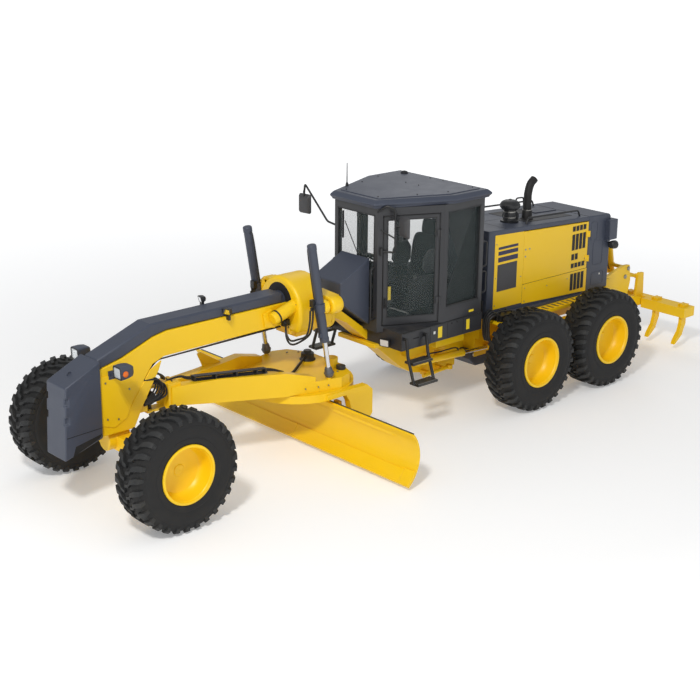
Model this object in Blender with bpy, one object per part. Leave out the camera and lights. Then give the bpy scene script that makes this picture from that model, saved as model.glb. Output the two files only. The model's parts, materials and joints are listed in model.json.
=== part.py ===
"""Motor grader: a six-wheeled, articulated road grader with a circle-mounted blade and a rear ripper.

Metres, +X forward, +Y left, +Z up. The origin is on the ground at the middle of the overall length.
Each sub-part is one named object, parented to the empty of the rigid body that it moves with, and
each empty stands on its body's joint axis.
"""

from math import atan2, cos, hypot, pi, sin

import bmesh
import bpy
from mathutils import Vector

# ---------------------------------------------------------------- clearances
SEAT = 0.0004        # between faces that touch
RUNNING = 0.008      # between pieces that move past each other

# ---------------------------------------------------------------- overall layout
FRONT_OVERHANG = 0.84     # front axle to the face of the push block
WHEELBASE_FIRST = 5.876   # front axle to the first tandem axle
TANDEM_SPACING = 1.535    # first to second tandem axle
REAR_OVERHANG = 9.80      # front axle to the back of the ripper beam
FRONT_AXLE = (REAR_OVERHANG - FRONT_OVERHANG) / 2


def back(distance):
    """The X of a station that lies this far behind the front axle."""
    return FRONT_AXLE - distance


# ---------------------------------------------------------------- wheels
TYRE_RADIUS = 0.70
TYRE_HALF_WIDTH = 0.232
RIM_RADIUS = 0.345
RIM_LIP = 0.008
FRONT_HALF_TRACK = 1.147
REAR_HALF_TRACK = 1.169
HUB_INSET = 0.06          # hub's inner face, inboard of the tyre's middle
WHEEL_SIDES = 24
TANDEM_MIDDLE = back(WHEELBASE_FIRST + TANDEM_SPACING / 2)

# ---------------------------------------------------------------- front frame
BEAM_HALF = 0.15
NOSE_FACE = back(-0.335)
NOSE_LOW = 0.86
AXLE_PIVOT = 0.74         # height of the pin that the front axle rocks on
BEAM_TOP = 1.94
BEAM_BOTTOM = 1.64
COVER_TOP = 2.07
KINGPIN = 0.86
KINGPIN_RADIUS = 0.055
STEER_ARM = 0.30
PIVOT = back(5.35)        # articulation axis
FORK_LOW, FORK_HIGH = 0.56, 0.80

# ---------------------------------------------------------------- cab
CAB_FRONT = back(3.70)
CAB_MIDDLE = back(4.52)
CAB_REAR = back(5.28)
CAB_BASE_FRONT = back(3.78)
CAB_FRONT_HALF = 0.41
CAB_MIDDLE_HALF = 0.80
CAB_REAR_HALF = 0.78
CAB_FLOOR = 1.40
CAB_SKIRT = 1.16
ROOF_LOW = 2.98
ROOF_HIGH = 3.10
AERIAL_TOP = 3.41
POST = 0.075
HINGE_RADIUS = 0.016
LADDER_FOOT = 0.75
LADDER_FOOT_Y = 1.00

# ---------------------------------------------------------------- engine end
HOOD_FRONT = back(5.64)
PANEL_FRONT = back(5.77)
DOOR_FRONT = back(6.37)
PANEL_REAR = back(7.79)
HOOD_REAR = back(8.30)
HOOD_HALF = 0.55
HOOD_SKIN = 0.035
HOOD_TOP_FRONT = 2.40
HOOD_TOP_REAR = 2.27
DOOR_LOW = 1.53
DECK = 1.15
RAIL_INNER, RAIL_OUTER = 0.28, 0.42

# ---------------------------------------------------------------- blade group
BALL = Vector((back(0.42), 0, 1.12))
BALL_RADIUS = 0.09
CIRCLE = Vector((back(2.68), 0, 0.80))
CIRCLE_RADIUS = 0.74
DRAWBAR_LOW, DRAWBAR_HIGH = 0.86, 1.00
BLADE_HALF = 2.16
BLADE_EDGE = Vector((back(2.60), 0, 0.06))
BLADE_HEAD = Vector((back(2.68), 0, 0.69))
BLADE_DEPTH = 0.13
BLADE_PLATE = 0.022
LIFT_Y = 0.62
LIFT_TRUNNION = Vector((back(2.55), LIFT_Y, 1.95))
LIFT_FOOT = Vector((back(2.70), LIFT_Y, 1.07))
LIFT_TOP = 2.76
LIFT_MOUTH = 1.50
TILT_PIN = Vector((back(3.06), 0, 0.30))
ARM_Y = 0.72

# ---------------------------------------------------------------- ripper
RIPPER_PIN = Vector((back(8.98), 0, 0.76))
RIPPER_LINK_PIN = Vector((back(9.02), 0, 1.13))
RIPPER_EYE = Vector((back(9.20), 0, 0.71))         # cylinder's pin on the lower arms
RIPPER_TRUNNION = Vector((back(9.09), 0, 1.25))    # cylinder's pins on the bracket
RIPPER_PLATES = {"link": (0.10, 0.15), "upright": (0.15, 0.20), "arms": (0.205, 0.29), "bracket": (0.29, 0.345)}
RIPPER_FOOT_X = back(REAR_OVERHANG) + 0.22
RIPPER_BEAM_HALF = 1.12


# ================================================================ shape helpers
def new_shell():
    return bmesh.new()


def prism(outline, axis, low, high):
    """A closed slab: the outline's two numbers are the two other axes, in X, Y, Z order."""
    shell = new_shell()

    def corner(pair, along):
        numbers = list(pair)
        numbers.insert("xyz".index(axis), along)
        return numbers

    lower = [shell.verts.new(corner(pair, low)) for pair in outline]
    upper = [shell.verts.new(corner(pair, high)) for pair in outline]
    shell.faces.new(lower)
    shell.faces.new(upper)
    for here in range(len(outline)):
        there = (here + 1) % len(outline)
        shell.faces.new((lower[here], lower[there], upper[there], upper[here]))
    bmesh.ops.recalc_face_normals(shell, faces=shell.faces)
    return shell


def block(x_ends, y_ends, z_ends):
    (x0, x1), (y0, y1), (z0, z1) = sorted(x_ends), sorted(y_ends), sorted(z_ends)
    return prism([(x0, y0), (x1, y0), (x1, y1), (x0, y1)], "z", z0, z1)


def loft(sections):
    """A closed solid through rings of corners, each ring with the same count."""
    shell = new_shell()
    rings = [[shell.verts.new(corner) for corner in ring] for ring in sections]
    shell.faces.new(rings[0])
    shell.faces.new(rings[-1])
    for first, second in zip(rings, rings[1:]):
        for here in range(len(first)):
            there = (here + 1) % len(first)
            shell.faces.new((first[here], first[there], second[there], second[here]))
    bmesh.ops.recalc_face_normals(shell, faces=shell.faces)
    return shell


def lathe(profile, centre, axis, sides):
    """Turns (along, radius) pairs about an axis through centre. A profile that starts and ends on
    the axis makes a solid; any other is closed into a ring."""
    shell = new_shell()
    axis = Vector(axis).normalized()
    side = axis.orthogonal().normalized()
    if abs(axis.z) < 0.5:
        side = Vector((0, 0, -1)) - axis * (-axis.z)
        side.normalize()
    third = axis.cross(side)
    rings = []
    for along, radius in profile:
        middle = Vector(centre) + axis * along
        if radius == 0:
            rings.append([shell.verts.new(middle)] * sides)
            continue
        turn = [2 * pi * step / sides for step in range(sides)]
        rings.append([shell.verts.new(middle + (side * cos(a) + third * sin(a)) * radius) for a in turn])
    if profile[0][1] != 0:
        rings.append(rings[0])
    for first, second in zip(rings, rings[1:]):
        for here in range(sides):
            there = (here + 1) % sides
            corners = [first[here], first[there], second[there], second[here]]
            face = [v for place, v in enumerate(corners) if v not in corners[:place]]
            if len(face) > 2:
                shell.faces.new(face)
    bmesh.ops.recalc_face_normals(shell, faces=shell.faces)
    return shell


def rod(start, end, radius, sides=16, end_radius=None):
    start, end = Vector(start), Vector(end)
    length = (end - start).length
    last = radius if end_radius is None else end_radius
    return lathe([(0, 0), (0, radius), (length, last), (length, 0)], start, end - start, sides)


def ball(centre, radius, sides=16):
    steps = sides // 2
    profile = [(-radius * cos(pi * s / steps), radius * sin(pi * s / steps)) for s in range(steps + 1)]
    profile[0] = (-radius, 0)
    profile[-1] = (radius, 0)
    return lathe(profile, centre, (0, 0, 1), sides)


def pipe(points, radius, sides=10):
    """A bent tube through points, with mitred corners."""
    points = [Vector(point) for point in points]
    sections = []
    side = None
    for index, point in enumerate(points):
        before = (point - points[index - 1]).normalized() if index else None
        after = (points[index + 1] - point).normalized() if index + 1 < len(points) else None
        direction = ((before or after) + (after or before)).normalized()
        if side is None:
            side = direction.orthogonal().normalized()
        side = (side - direction * side.dot(direction)).normalized()
        third = direction.cross(side)
        stretch = 1 / max(0.5, direction.dot(after or before))
        bend = (after - before) if before and after else Vector((0, 0, 0))
        bend = bend - direction * bend.dot(direction)
        ring = []
        for step in range(sides):
            angle = 2 * pi * step / sides
            offset = (side * cos(angle) + third * sin(angle)) * radius
            if bend.length > 1e-6:
                unit = bend.normalized()
                offset += unit * offset.dot(unit) * (stretch - 1)
            ring.append(point + offset)
        sections.append(ring)
    return loft(sections)


def mirrored(shell):
    """The same shell on the other side of the machine."""
    other = shell.copy()
    bmesh.ops.scale(other, vec=(1, -1, 1), verts=other.verts)
    bmesh.ops.reverse_faces(other, faces=other.faces)
    return other


def sided(shells, side):
    return shells if side > 0 else [mirrored(shell) for shell in shells]


# ================================================================ scene, paints and bodies
def clear_scene():
    for old in list(bpy.data.objects):
        bpy.data.objects.remove(old, do_unlink=True)


def paint(name, colour, roughness, metallic=0.0):
    material = bpy.data.materials.new(name)
    material.use_nodes = True
    shader = material.node_tree.nodes["Principled BSDF"]
    shader.inputs["Base Color"].default_value = (*colour, 1)
    shader.inputs["Roughness"].default_value = roughness
    shader.inputs["Metallic"].default_value = metallic
    return material


clear_scene()
YELLOW = paint("yellow_paint", (0.88, 0.55, 0.01), 0.35)
GREY = paint("blue_grey_paint", (0.055, 0.07, 0.09), 0.4)
RUBBER = paint("tyre_rubber", (0.02, 0.02, 0.02), 0.8)
CHROME = paint("chrome_rod", (0.7, 0.7, 0.7), 0.15, 1.0)
STEEL = paint("dark_steel", (0.03, 0.03, 0.035), 0.5, 0.3)
SEAT_CLOTH = paint("seat_cloth", (0.03, 0.03, 0.035), 0.9)

BODIES = {}


def body(name, place, parent=None):
    """The empty of a rigid body, standing on its joint axis."""
    empty = bpy.data.objects.new(name + "_axis", None)
    bpy.context.scene.collection.objects.link(empty)
    place = Vector(place)
    if parent:
        empty.parent = BODIES[parent][0]
        empty.location = place - BODIES[parent][1]
    else:
        empty.location = place
    BODIES[name] = (empty, place)


def to_object(name, shells, place, hidden):
    mesh = bpy.data.meshes.new(name)
    whole = bmesh.new()
    for shell in shells:
        part = bpy.data.meshes.new(name + "_shell")
        shell.to_mesh(part)
        whole.from_mesh(part)
        bpy.data.meshes.remove(part)
    bmesh.ops.translate(whole, vec=-place, verts=whole.verts)
    whole.to_mesh(mesh)
    whole.free()
    made = bpy.data.objects.new(name, mesh)
    bpy.context.scene.collection.objects.link(made)
    if hidden:
        made.hide_render = True
        made.display_type = "WIRE"
    return made


def piece(name, on, finish, shells, cuts=()):
    """One sub-part: its shells united into one solid, less its cuts, on the body it moves with."""
    empty, place = BODIES[on]
    made = to_object(name, shells[:1], place, False)
    made.parent = empty
    made.data.materials.append(finish)
    for label, operation, others in (("join", "UNION", shells[1:]), ("cut", "DIFFERENCE", cuts)):
        if not others:
            continue
        helper = to_object(f"{name}_{label}", others, place, True)
        helper.parent = empty
        boolean = made.modifiers.new(label, "BOOLEAN")
        boolean.operation = operation
        boolean.solver = "EXACT"
        boolean.use_self = True
        boolean.object = helper
    made.data.shade_smooth()
    made.data.set_sharp_from_angle(angle=0.6)
    return made


SIDES = (("left", 1), ("right", -1))


# ================================================================ wheels and axles
def tyre_shell(centre, side):
    wide = TYRE_HALF_WIDTH
    bore = RIM_RADIUS + SEAT
    half = [(0.198, bore), (0.212, bore + 0.014), (wide, 0.46), (wide - 0.008, 0.61), (wide - 0.055, TYRE_RADIUS)]
    profile = half + [(-along, radius) for along, radius in reversed(half)]
    return lathe(profile, centre, (0, side, 0), WHEEL_SIDES)


def rim_shell(centre, side):
    lip = RIM_RADIUS + RIM_LIP
    profile = [(0.09, 0), (0.09, 0.10), (0.045, 0.12), (0.045, 0.26), (0.236, 0.325), (0.236, lip), (0.2135, lip),
               (0.199, RIM_RADIUS), (-0.199, RIM_RADIUS), (-0.23, lip), (-0.23, 0.325), (0.01, 0.29),
               (-HUB_INSET, 0.11), (-HUB_INSET, 0)]
    return lathe(profile, centre, (0, side, 0), WHEEL_SIDES)


def wheel(name, x, half_track, side, parent):
    centre = Vector((x, side * half_track, TYRE_RADIUS))
    body(f"wheel_{name}", centre, parent)
    piece(f"tyre_{name}", f"wheel_{name}", RUBBER, [tyre_shell(centre, side)])
    piece(f"rim_{name}", f"wheel_{name}", YELLOW, [rim_shell(centre, side)])


def front_axle():
    """The bowed axle beam under the nose, with an upper and a lower ear for each kingpin."""
    x = FRONT_AXLE
    ear_in, ear_out = KINGPIN - 0.14, KINGPIN + 0.075
    shells = [
        block((x - 0.10, x + 0.10), (-ear_in, ear_in), (0.62, 0.80)),
        rod((x - 0.09, 0, AXLE_PIVOT), (x + 0.20, 0, AXLE_PIVOT), NOSE_LOW - AXLE_PIVOT - SEAT),
    ]
    for side in (1, -1):
        inner, outer = side * (ear_in - 0.06), side * ear_out
        shells.append(block((x - 0.075, x + 0.075), (inner, side * ear_in), (0.50, 0.90)))
        for low, high in ((0.50, 0.545), (0.855, 0.90)):
            shells.append(block((x - 0.07, x + 0.07), (inner + side * 0.01, outer), (low, high)))
    piece("front_axle", "front_frame", YELLOW, shells)


def knuckle(name, side):
    x = FRONT_AXLE
    body(f"knuckle_{name}", (x, side * KINGPIN, TYRE_RADIUS), "front_frame")
    reach = FRONT_HALF_TRACK - HUB_INSET - SEAT
    arm_x = x - STEER_ARM
    low, high = 0.545 + SEAT, 0.855 - SEAT
    shells = [
        rod((x, KINGPIN, low), (x, KINGPIN, high), KINGPIN_RADIUS),
        rod((x, KINGPIN, TYRE_RADIUS), (x, reach, TYRE_RADIUS), 0.065),
        prism([(x, KINGPIN - 0.03), (x, KINGPIN + 0.03), (arm_x - 0.035, KINGPIN + 0.03),
               (arm_x - 0.035, KINGPIN - 0.035)], "z", 0.56, 0.60),
    ]
    piece(f"knuckle_{name}", f"knuckle_{name}", YELLOW, sided(shells, side))


def tie_rod():
    """The bar that joins the two steering arms, under them."""
    x = FRONT_AXLE - STEER_ARM
    body("tie_rod", (x, KINGPIN, 0.53), "knuckle_left")
    top = 0.56 - SEAT
    shells = [pipe([(x, -KINGPIN, 0.52), (x, KINGPIN, 0.52)], 0.022, 12)]
    shells += [rod((x, side * KINGPIN, 0.50), (x, side * KINGPIN, top), 0.032) for side in (1, -1)]
    piece("tie_rod", "tie_rod", STEEL, shells)


def tandem(name, side):
    """The chain case between two drive wheels, its axle housing and its two hub stubs."""
    inner, outer = 0.70, 0.895
    ends = [back(WHEELBASE_FIRST), back(WHEELBASE_FIRST + TANDEM_SPACING)]
    outline = []
    for x, first in ((ends[0], -pi / 2), (ends[1], pi / 2)):
        for step in range(9):
            angle = first + pi * step / 8
            outline.append((x + 0.25 * cos(angle), TYRE_RADIUS + 0.25 * sin(angle)))
    shells = [prism(outline, "y", inner, outer)]
    shells.append(rod((TANDEM_MIDDLE, RAIL_OUTER + SEAT, TYRE_RADIUS), (TANDEM_MIDDLE, inner + 0.02, TYRE_RADIUS), 0.17))
    reach = REAR_HALF_TRACK - HUB_INSET - SEAT
    for x in ends:
        shells.append(rod((x, outer - 0.02, TYRE_RADIUS), (x, reach, TYRE_RADIUS), 0.10))
    piece(f"tandem_{name}", "rear_frame", YELLOW, sided(shells, side))


# ================================================================ front frame
def frame_outline():
    """The side view of the front frame: nose, gooseneck beam, drop under the cab, and pivot fork."""
    return [
        (NOSE_FACE, 1.66), (back(0), 1.74), (back(0.42), 1.90), (back(0.62), BEAM_TOP),
        (back(2.95), BEAM_TOP), (back(3.31), 1.66), (back(4.19), 0.98), (back(4.34), 0.93),
        (PIVOT - 0.12, 0.93), (PIVOT - 0.12, FORK_HIGH), (PIVOT + 0.30, FORK_HIGH), (PIVOT + 0.30, FORK_LOW),
        (PIVOT - 0.12, FORK_LOW), (PIVOT - 0.12, 0.44), (back(4.92), 0.45), (back(4.64), 0.51),
        (back(4.40), 0.65), (back(3.43), 1.46), (back(3.12), 1.63), (back(2.30), 1.66),
        (back(0.56), BEAM_BOTTOM), (back(0.40), 1.58), (back(0.28), 1.42), (back(0.22), 1.05),
        (back(0.12), NOSE_LOW), (NOSE_FACE, NOSE_LOW),
    ]


def frame_clearance():
    """Cutters that leave a seat gap above and below the front frame."""
    outlines = [[(x, z + shift) for x, z in frame_outline()] for shift in (-2 * SEAT, 2 * SEAT)]
    return [prism(outline, "y", -BEAM_HALF - SEAT, BEAM_HALF + SEAT) for outline in outlines]


def front_frame():
    shells = [prism(frame_outline(), "y", -BEAM_HALF, BEAM_HALF)]
    socket = BALL.x + BALL_RADIUS + SEAT
    shells.append(block((back(0.18), socket), (-0.12, 0.12), (1.01, 1.23)))
    shells.append(block((back(4.40), back(5.10)), (-0.30, 0.30), (0.81, 0.94)))
    shells.append(block((back(4.62), back(5.16)), (-0.60, 0.60), (0.98, CAB_SKIRT - SEAT)))
    shells.append(block((back(4.66), back(5.06)), (-0.24, 0.24), (0.85, 1.0)))
    shells.append(block((back(3.72), back(3.90)), (-0.36, 0.36), (1.10, CAB_SKIRT - SEAT)))
    piece("front_frame", "front_frame", YELLOW, shells)


def beam_cover():
    """The dark cowling along the top of the gooseneck."""
    foot = SEAT
    outline = [
        (NOSE_FACE, 1.66 + foot), (back(0), 1.74 + foot), (back(0.42), 1.90 + foot),
        (back(0.62), BEAM_TOP + foot), (back(2.36), BEAM_TOP + foot), (back(2.36), COVER_TOP),
        (back(0.40), COVER_TOP - 0.01), (NOSE_FACE, 1.785),
    ]
    piece("beam_cover", "front_frame", GREY, [prism(outline, "y", -0.135, 0.135)])


def counterweight():
    face = FRONT_AXLE + FRONT_OVERHANG
    rear = NOSE_FACE + SEAT
    outline = [(rear, 0.87), (face, 0.71), (face - 0.045, 1.57), (rear, 1.785)]
    cuts = []
    for height in (1.36, 1.14):
        for side in (1, -1):
            cuts.append(block((face - 0.08, face + 0.05), (side * 0.17, side * 0.26), (height, height + 0.08)))
    piece("counterweight", "front_frame", GREY, [prism(outline, "y", -0.20, 0.20)], cuts)


def headlight(name, side):
    inner, outer = 0.36, 0.52
    box = [(back(-0.28), 1.63), (back(-0.28), 1.79), (back(-0.22), 1.82), (back(-0.12), 1.81), (back(-0.09), 1.70), (back(-0.13), 1.62)]
    shells = [
        prism(box, "y", inner, outer),
        pipe([(back(-0.17), BEAM_HALF + SEAT, 1.58), (back(-0.17), 0.22, 1.58), (back(-0.17), 0.30, 1.68), (back(-0.17), inner + 0.02, 1.70)], 0.022, 8),
    ]
    piece(f"headlight_{name}", "front_frame", STEEL, sided(shells, side))


def saddle():
    """The collar round the beam that carries the two lift cylinders on its arms."""
    front, rear, arm = back(2.42), back(2.86), back(2.68)
    outer = [(-0.33, 1.56), (0.33, 1.56), (0.40, 1.70), (0.40, 1.98), (0.30, 2.14), (0.14, 2.24),
             (-0.14, 2.24), (-0.30, 2.14), (-0.40, 1.98), (-0.40, 1.70)]
    shells = [prism(outer, "x", rear, front)]
    for side in (1, -1):
        arms = [(side * 0.30, 1.82), (side * 0.30, 2.08), (side * LIFT_Y, 2.06), (side * LIFT_Y, 1.84)]
        shells.append(prism(arms, "x", rear, arm))
        shells.append(rod((rear, side * LIFT_Y, 1.95), (arm, side * LIFT_Y, 1.95), 0.11, 20))
    shells.append(block((rear + 0.1, front - 0.1), (-0.20, 0.20), (1.47, 1.58)))
    bore = BEAM_HALF + SEAT
    cuts = [block((rear - 0.1, front + 0.1), (-bore, bore), (BEAM_BOTTOM - 0.01, BEAM_TOP + 0.02))]
    for side in (1, -1):
        cuts.append(block((rear + 0.12, front - 0.10), (side * 0.24, side * 0.5), (1.70, 1.88)))
    piece("saddle", "front_frame", YELLOW, shells, cuts)


# ================================================================ blade group
def drawbar():
    body("drawbar_ball", BALL, "front_frame")
    half_pin, pin_radius = 0.13, 0.035
    neck = (BALL_RADIUS ** 2 - pin_radius ** 2) ** 0.5
    globe = [(-BALL_RADIUS * cos(pi * step / 8), BALL_RADIUS * sin(pi * step / 8)) for step in range(2, 7)]
    profile = [(-half_pin, 0), (-half_pin, pin_radius), (-neck, pin_radius), *globe, (neck, pin_radius), (half_pin, pin_radius), (half_pin, 0)]
    piece("drawbar_ball", "drawbar_ball", STEEL, [lathe(profile, BALL, (0, 0, 1), 16)])
    body("drawbar", BALL, "drawbar_ball")
    shells = []
    plan = [(back(1.95), 0.40), (back(2.30), 0.56), (back(2.85), 0.69), (back(3.05), 0.62), (back(3.20), 0.34)]
    plan += [(x, -y) for x, y in reversed(plan)]
    shells.append(prism(plan, "z", DRAWBAR_LOW, DRAWBAR_HIGH))
    for side in (1, -1):
        sections = []
        for distance, y, low, high in ((0.66, 0.07, 1.00, 1.23), (1.30, 0.18, 0.92, 1.22), (2.10, 0.44, 0.87, 1.17), (2.50, 0.52, 0.87, 1.06)):
            inner, outer = side * (y - 0.06), side * (y + 0.08)
            x = back(distance)
            sections.append([(x, inner, low), (x, outer, low), (x, outer, high), (x, inner, high)])
        shells.append(loft(sections))
        stud = LIFT_FOOT.z - 0.045 - RUNNING
        shells.append(rod((LIFT_FOOT.x, side * LIFT_Y, DRAWBAR_HIGH - 0.02), (LIFT_FOOT.x, side * LIFT_Y, stud), 0.03))
    shells.append(block((back(0.62), back(0.80)), (-0.13, 0.13), (0.97, 1.27)))
    for low in (BALL.z - half_pin - SEAT - 0.035, BALL.z + half_pin + SEAT):
        shells.append(block((back(0.36), back(0.70)), (-0.07, 0.07), (low, low + 0.035)))
    shells.append(block((back(0.60), back(0.70)), (-0.07, 0.07), (BALL.z - half_pin - 0.03, BALL.z + half_pin + 0.03)))
    shells.append(rod((back(3.02), 0.30, DRAWBAR_HIGH - 0.02), (back(3.02), 0.30, 1.13), 0.085, 20))
    piece("drawbar", "drawbar", YELLOW, shells)


def circle():
    body("circle", CIRCLE, "drawbar")
    top = DRAWBAR_LOW - SEAT
    ring = lathe([(-0.04, 0.56), (-0.04, CIRCLE_RADIUS), (top - CIRCLE.z, CIRCLE_RADIUS), (top - CIRCLE.z, 0.56)], CIRCLE, (0, 0, 1), 36)
    shells = [ring]
    arm = [(back(2.55), 0.78), (back(2.55), 0.84), (back(3.22), 0.84), (back(3.31), 0.76), (back(3.31), 0.44),
           (TILT_PIN.x - 0.07, TILT_PIN.z - 0.07), (TILT_PIN.x + 0.06, TILT_PIN.z - 0.07), (back(2.96), 0.50), (back(2.92), 0.68), (back(2.86), 0.78)]
    for side in (1, -1):
        shells.append(prism(arm, "y", side * (ARM_Y - 0.05), side * (ARM_Y + 0.05)))
    shells.append(block((back(3.24), back(3.30)), (-ARM_Y, ARM_Y), (0.60, 0.72)))
    piece("circle", "circle", YELLOW, shells)


def blade_carrier():
    """The two slide brackets behind the blade, on a cross tube that tips them."""
    body("blade_carrier", TILT_PIN, "circle")
    shells = [rod((TILT_PIN.x, -ARM_Y + 0.05 + SEAT, TILT_PIN.z), (TILT_PIN.x, ARM_Y - 0.05 - SEAT, TILT_PIN.z), 0.045)]
    face = back(2.885) - SEAT
    for side in (1, -1):
        outline = [(face, 0.20), (face, 0.64), (face - 0.05, 0.64), (face - 0.07, 0.40), (TILT_PIN.x - 0.05, TILT_PIN.z + 0.05),
                   (TILT_PIN.x - 0.05, TILT_PIN.z - 0.05), (face - 0.05, 0.20)]
        shells.append(prism(outline, "y", side * 0.50, side * 0.60))
    piece("blade_carrier", "blade_carrier", YELLOW, shells)


def moldboard_outline():
    """Front and back arcs of the curved plate, from the cutting edge up to the head."""
    chord = BLADE_HEAD - BLADE_EDGE
    length = hypot(chord.x, chord.z)
    radius = (length * length / 4 + BLADE_DEPTH * BLADE_DEPTH) / (2 * BLADE_DEPTH)
    middle = (BLADE_EDGE + BLADE_HEAD) / 2
    normal = Vector((chord.z, 0, -chord.x)) / length
    centre = middle + normal * (radius - BLADE_DEPTH)
    first = atan2(BLADE_EDGE.z - centre.z, BLADE_EDGE.x - centre.x) % (2 * pi)
    last = atan2(BLADE_HEAD.z - centre.z, BLADE_HEAD.x - centre.x) % (2 * pi)
    steps = 8
    arcs = []
    for arc_radius in (radius, radius + BLADE_PLATE):
        angles = [first + (last - first) * step / steps for step in range(steps + 1)]
        arcs.append([(centre.x + arc_radius * cos(a), centre.z + arc_radius * sin(a)) for a in angles])
    return arcs[0] + arcs[1][::-1]


def moldboard():
    body("moldboard", BLADE_EDGE, "blade_carrier")
    shells = [prism(moldboard_outline(), "y", -BLADE_HALF, BLADE_HALF)]
    rail_back = back(2.885)
    for low, reach in ((0.22, back(2.745)), (0.56, back(2.735))):
        shells.append(block((rail_back, reach), (-1.75, 1.75), (low, low + 0.045)))
    piece("moldboard", "moldboard", YELLOW, shells)


def lift_cylinder(name, side):
    """A barrel slung in a yoke on the saddle's arm, and its rod down to the drawbar's ball."""
    body(f"lift_barrel_{name}", (LIFT_TRUNNION.x, side * LIFT_Y, LIFT_TRUNNION.z), "front_frame")
    body(f"lift_rod_{name}", (LIFT_TRUNNION.x, side * LIFT_Y, LIFT_TRUNNION.z), f"lift_barrel_{name}")
    line = (LIFT_TRUNNION - LIFT_FOOT).normalized()

    def at(height):
        return LIFT_TRUNNION + line * ((height - LIFT_TRUNNION.z) / line.z)

    yoke_front, yoke_rear = back(2.46), back(2.68) + SEAT
    mouth = at(LIFT_MOUTH)
    bore = 0.034
    shells = [
        rod(at(LIFT_TOP), mouth, 0.055, 20),
        block((yoke_rear + 0.04, yoke_front), (LIFT_Y - 0.085, LIFT_Y + 0.085), (1.89, 2.02)),
        rod((yoke_rear, LIFT_Y, 1.95), (yoke_rear + 0.08, LIFT_Y, 1.95), 0.06),
    ]
    cuts = [rod(at(LIFT_MOUTH + 0.78), at(LIFT_MOUTH - 0.05), bore, 20)]
    piece(f"lift_barrel_{name}", f"lift_barrel_{name}", GREY, sided(shells, side), sided(cuts, side))
    shells = [
        rod(at(LIFT_MOUTH + 0.42), LIFT_FOOT, 0.033, 20),
        ball(LIFT_FOOT, 0.045 - SEAT, 16),
    ]
    piece(f"lift_rod_{name}", f"lift_rod_{name}", CHROME, sided(shells, side))


# ================================================================ cab
def cab_plan(inset=0.0):
    """Corners of the cab seen from above, front left round to front right."""
    left = [(CAB_FRONT - inset, CAB_FRONT_HALF - inset * 0.6), (CAB_MIDDLE, CAB_MIDDLE_HALF - inset * 1.1), (CAB_REAR + inset, CAB_REAR_HALF - inset)]
    return left + [(x, -y) for x, y in reversed(left)]


def cab_shell():
    """Base box, floor, posts and walls as one welded house, open at the doors and the windows."""
    high = ROOF_LOW - SEAT
    base = block((CAB_REAR, CAB_BASE_FRONT), (-CAB_MIDDLE_HALF, CAB_MIDDLE_HALF), (CAB_SKIRT, CAB_FLOOR))
    house = prism(cab_plan(), "z", CAB_FLOOR - 0.06, high)
    inner = prism(cab_plan(POST), "z", CAB_FLOOR + 0.0002, high - 0.07)
    cuts = [inner, *frame_clearance()]
    sill = 1.50
    head = high - 0.10
    for side in (1, -1):
        door = Vector((CAB_MIDDLE - CAB_FRONT, (CAB_MIDDLE_HALF - CAB_FRONT_HALF) * side, 0))
        along = door.normalized()
        across = Vector((-along.y, along.x, 0)) * side
        across = across if across.y * side > 0 else -across
        start = Vector((CAB_FRONT, CAB_FRONT_HALF * side, 0)) + along * 0.07
        end = Vector((CAB_MIDDLE, CAB_MIDDLE_HALF * side, 0)) - along * 0.06
        corners = [start - across * 0.14, end - across * 0.14, end + across * 0.10, start + across * 0.10]
        cuts.append(prism([(c.x, c.y) for c in corners], "z", CAB_FLOOR + 0.02, head))
        cuts.append(block((CAB_REAR + 0.08, CAB_MIDDLE - 0.06), (side * 0.60, side * 0.95), (sill + 0.10, head)))
    cuts.append(block((CAB_FRONT - 0.15, CAB_FRONT + 0.1), (-CAB_FRONT_HALF + 0.06, CAB_FRONT_HALF - 0.06), (1.62, head)))
    cuts.append(block((CAB_REAR - 0.1, CAB_REAR + 0.15), (-0.66, 0.66), (1.75, head)))
    piece("cab_shell", "front_frame", GREY, [base, house], cuts)


def cab_roof():
    front, middle, rear = back(3.62), back(4.68), back(5.32)
    plan = [(front, 0.42), (middle, 0.87), (rear, 0.87)]
    plan += [(x, -y) for x, y in reversed(plan)]
    middle_x = sum(x for x, _ in plan) / len(plan)

    def ring(height, shrink):
        return [(middle_x + (x - middle_x) * shrink, y * shrink, height) for x, y in plan]

    roof = loft([ring(ROOF_LOW, 0.96), ring(ROOF_LOW + 0.05, 1.0), ring(ROOF_HIGH, 0.93)])
    aerial = lathe([(-0.02, 0), (-0.02, 0.020), (0.03, 0.018), (0.05, 0.008), (AERIAL_TOP - ROOF_HIGH, 0.006), (AERIAL_TOP - ROOF_HIGH, 0)], (back(3.99), -0.50, ROOF_HIGH), (0, 0, 1), 12)
    dome = lathe([(-0.02, 0), (-0.02, 0.052), (0.015, 0.050), (0.032, 0.034), (0.040, 0)], (back(5.12), -0.58, ROOF_HIGH), (0, 0, 1), 16)
    piece("cab_roof", "front_frame", GREY, [roof, aerial, dome])


def cowl():
    """The sloping dash housing between the windscreen and the beam."""
    rear = CAB_FRONT + SEAT
    front = back(3.20)
    outline = [(rear, 2.31), (front, 2.06), (front, 1.80), (back(3.32), 1.70), (rear, 1.42)]
    piece("cowl", "front_frame", GREY, [prism(outline, "y", -0.27, 0.27)], frame_clearance())


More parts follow.
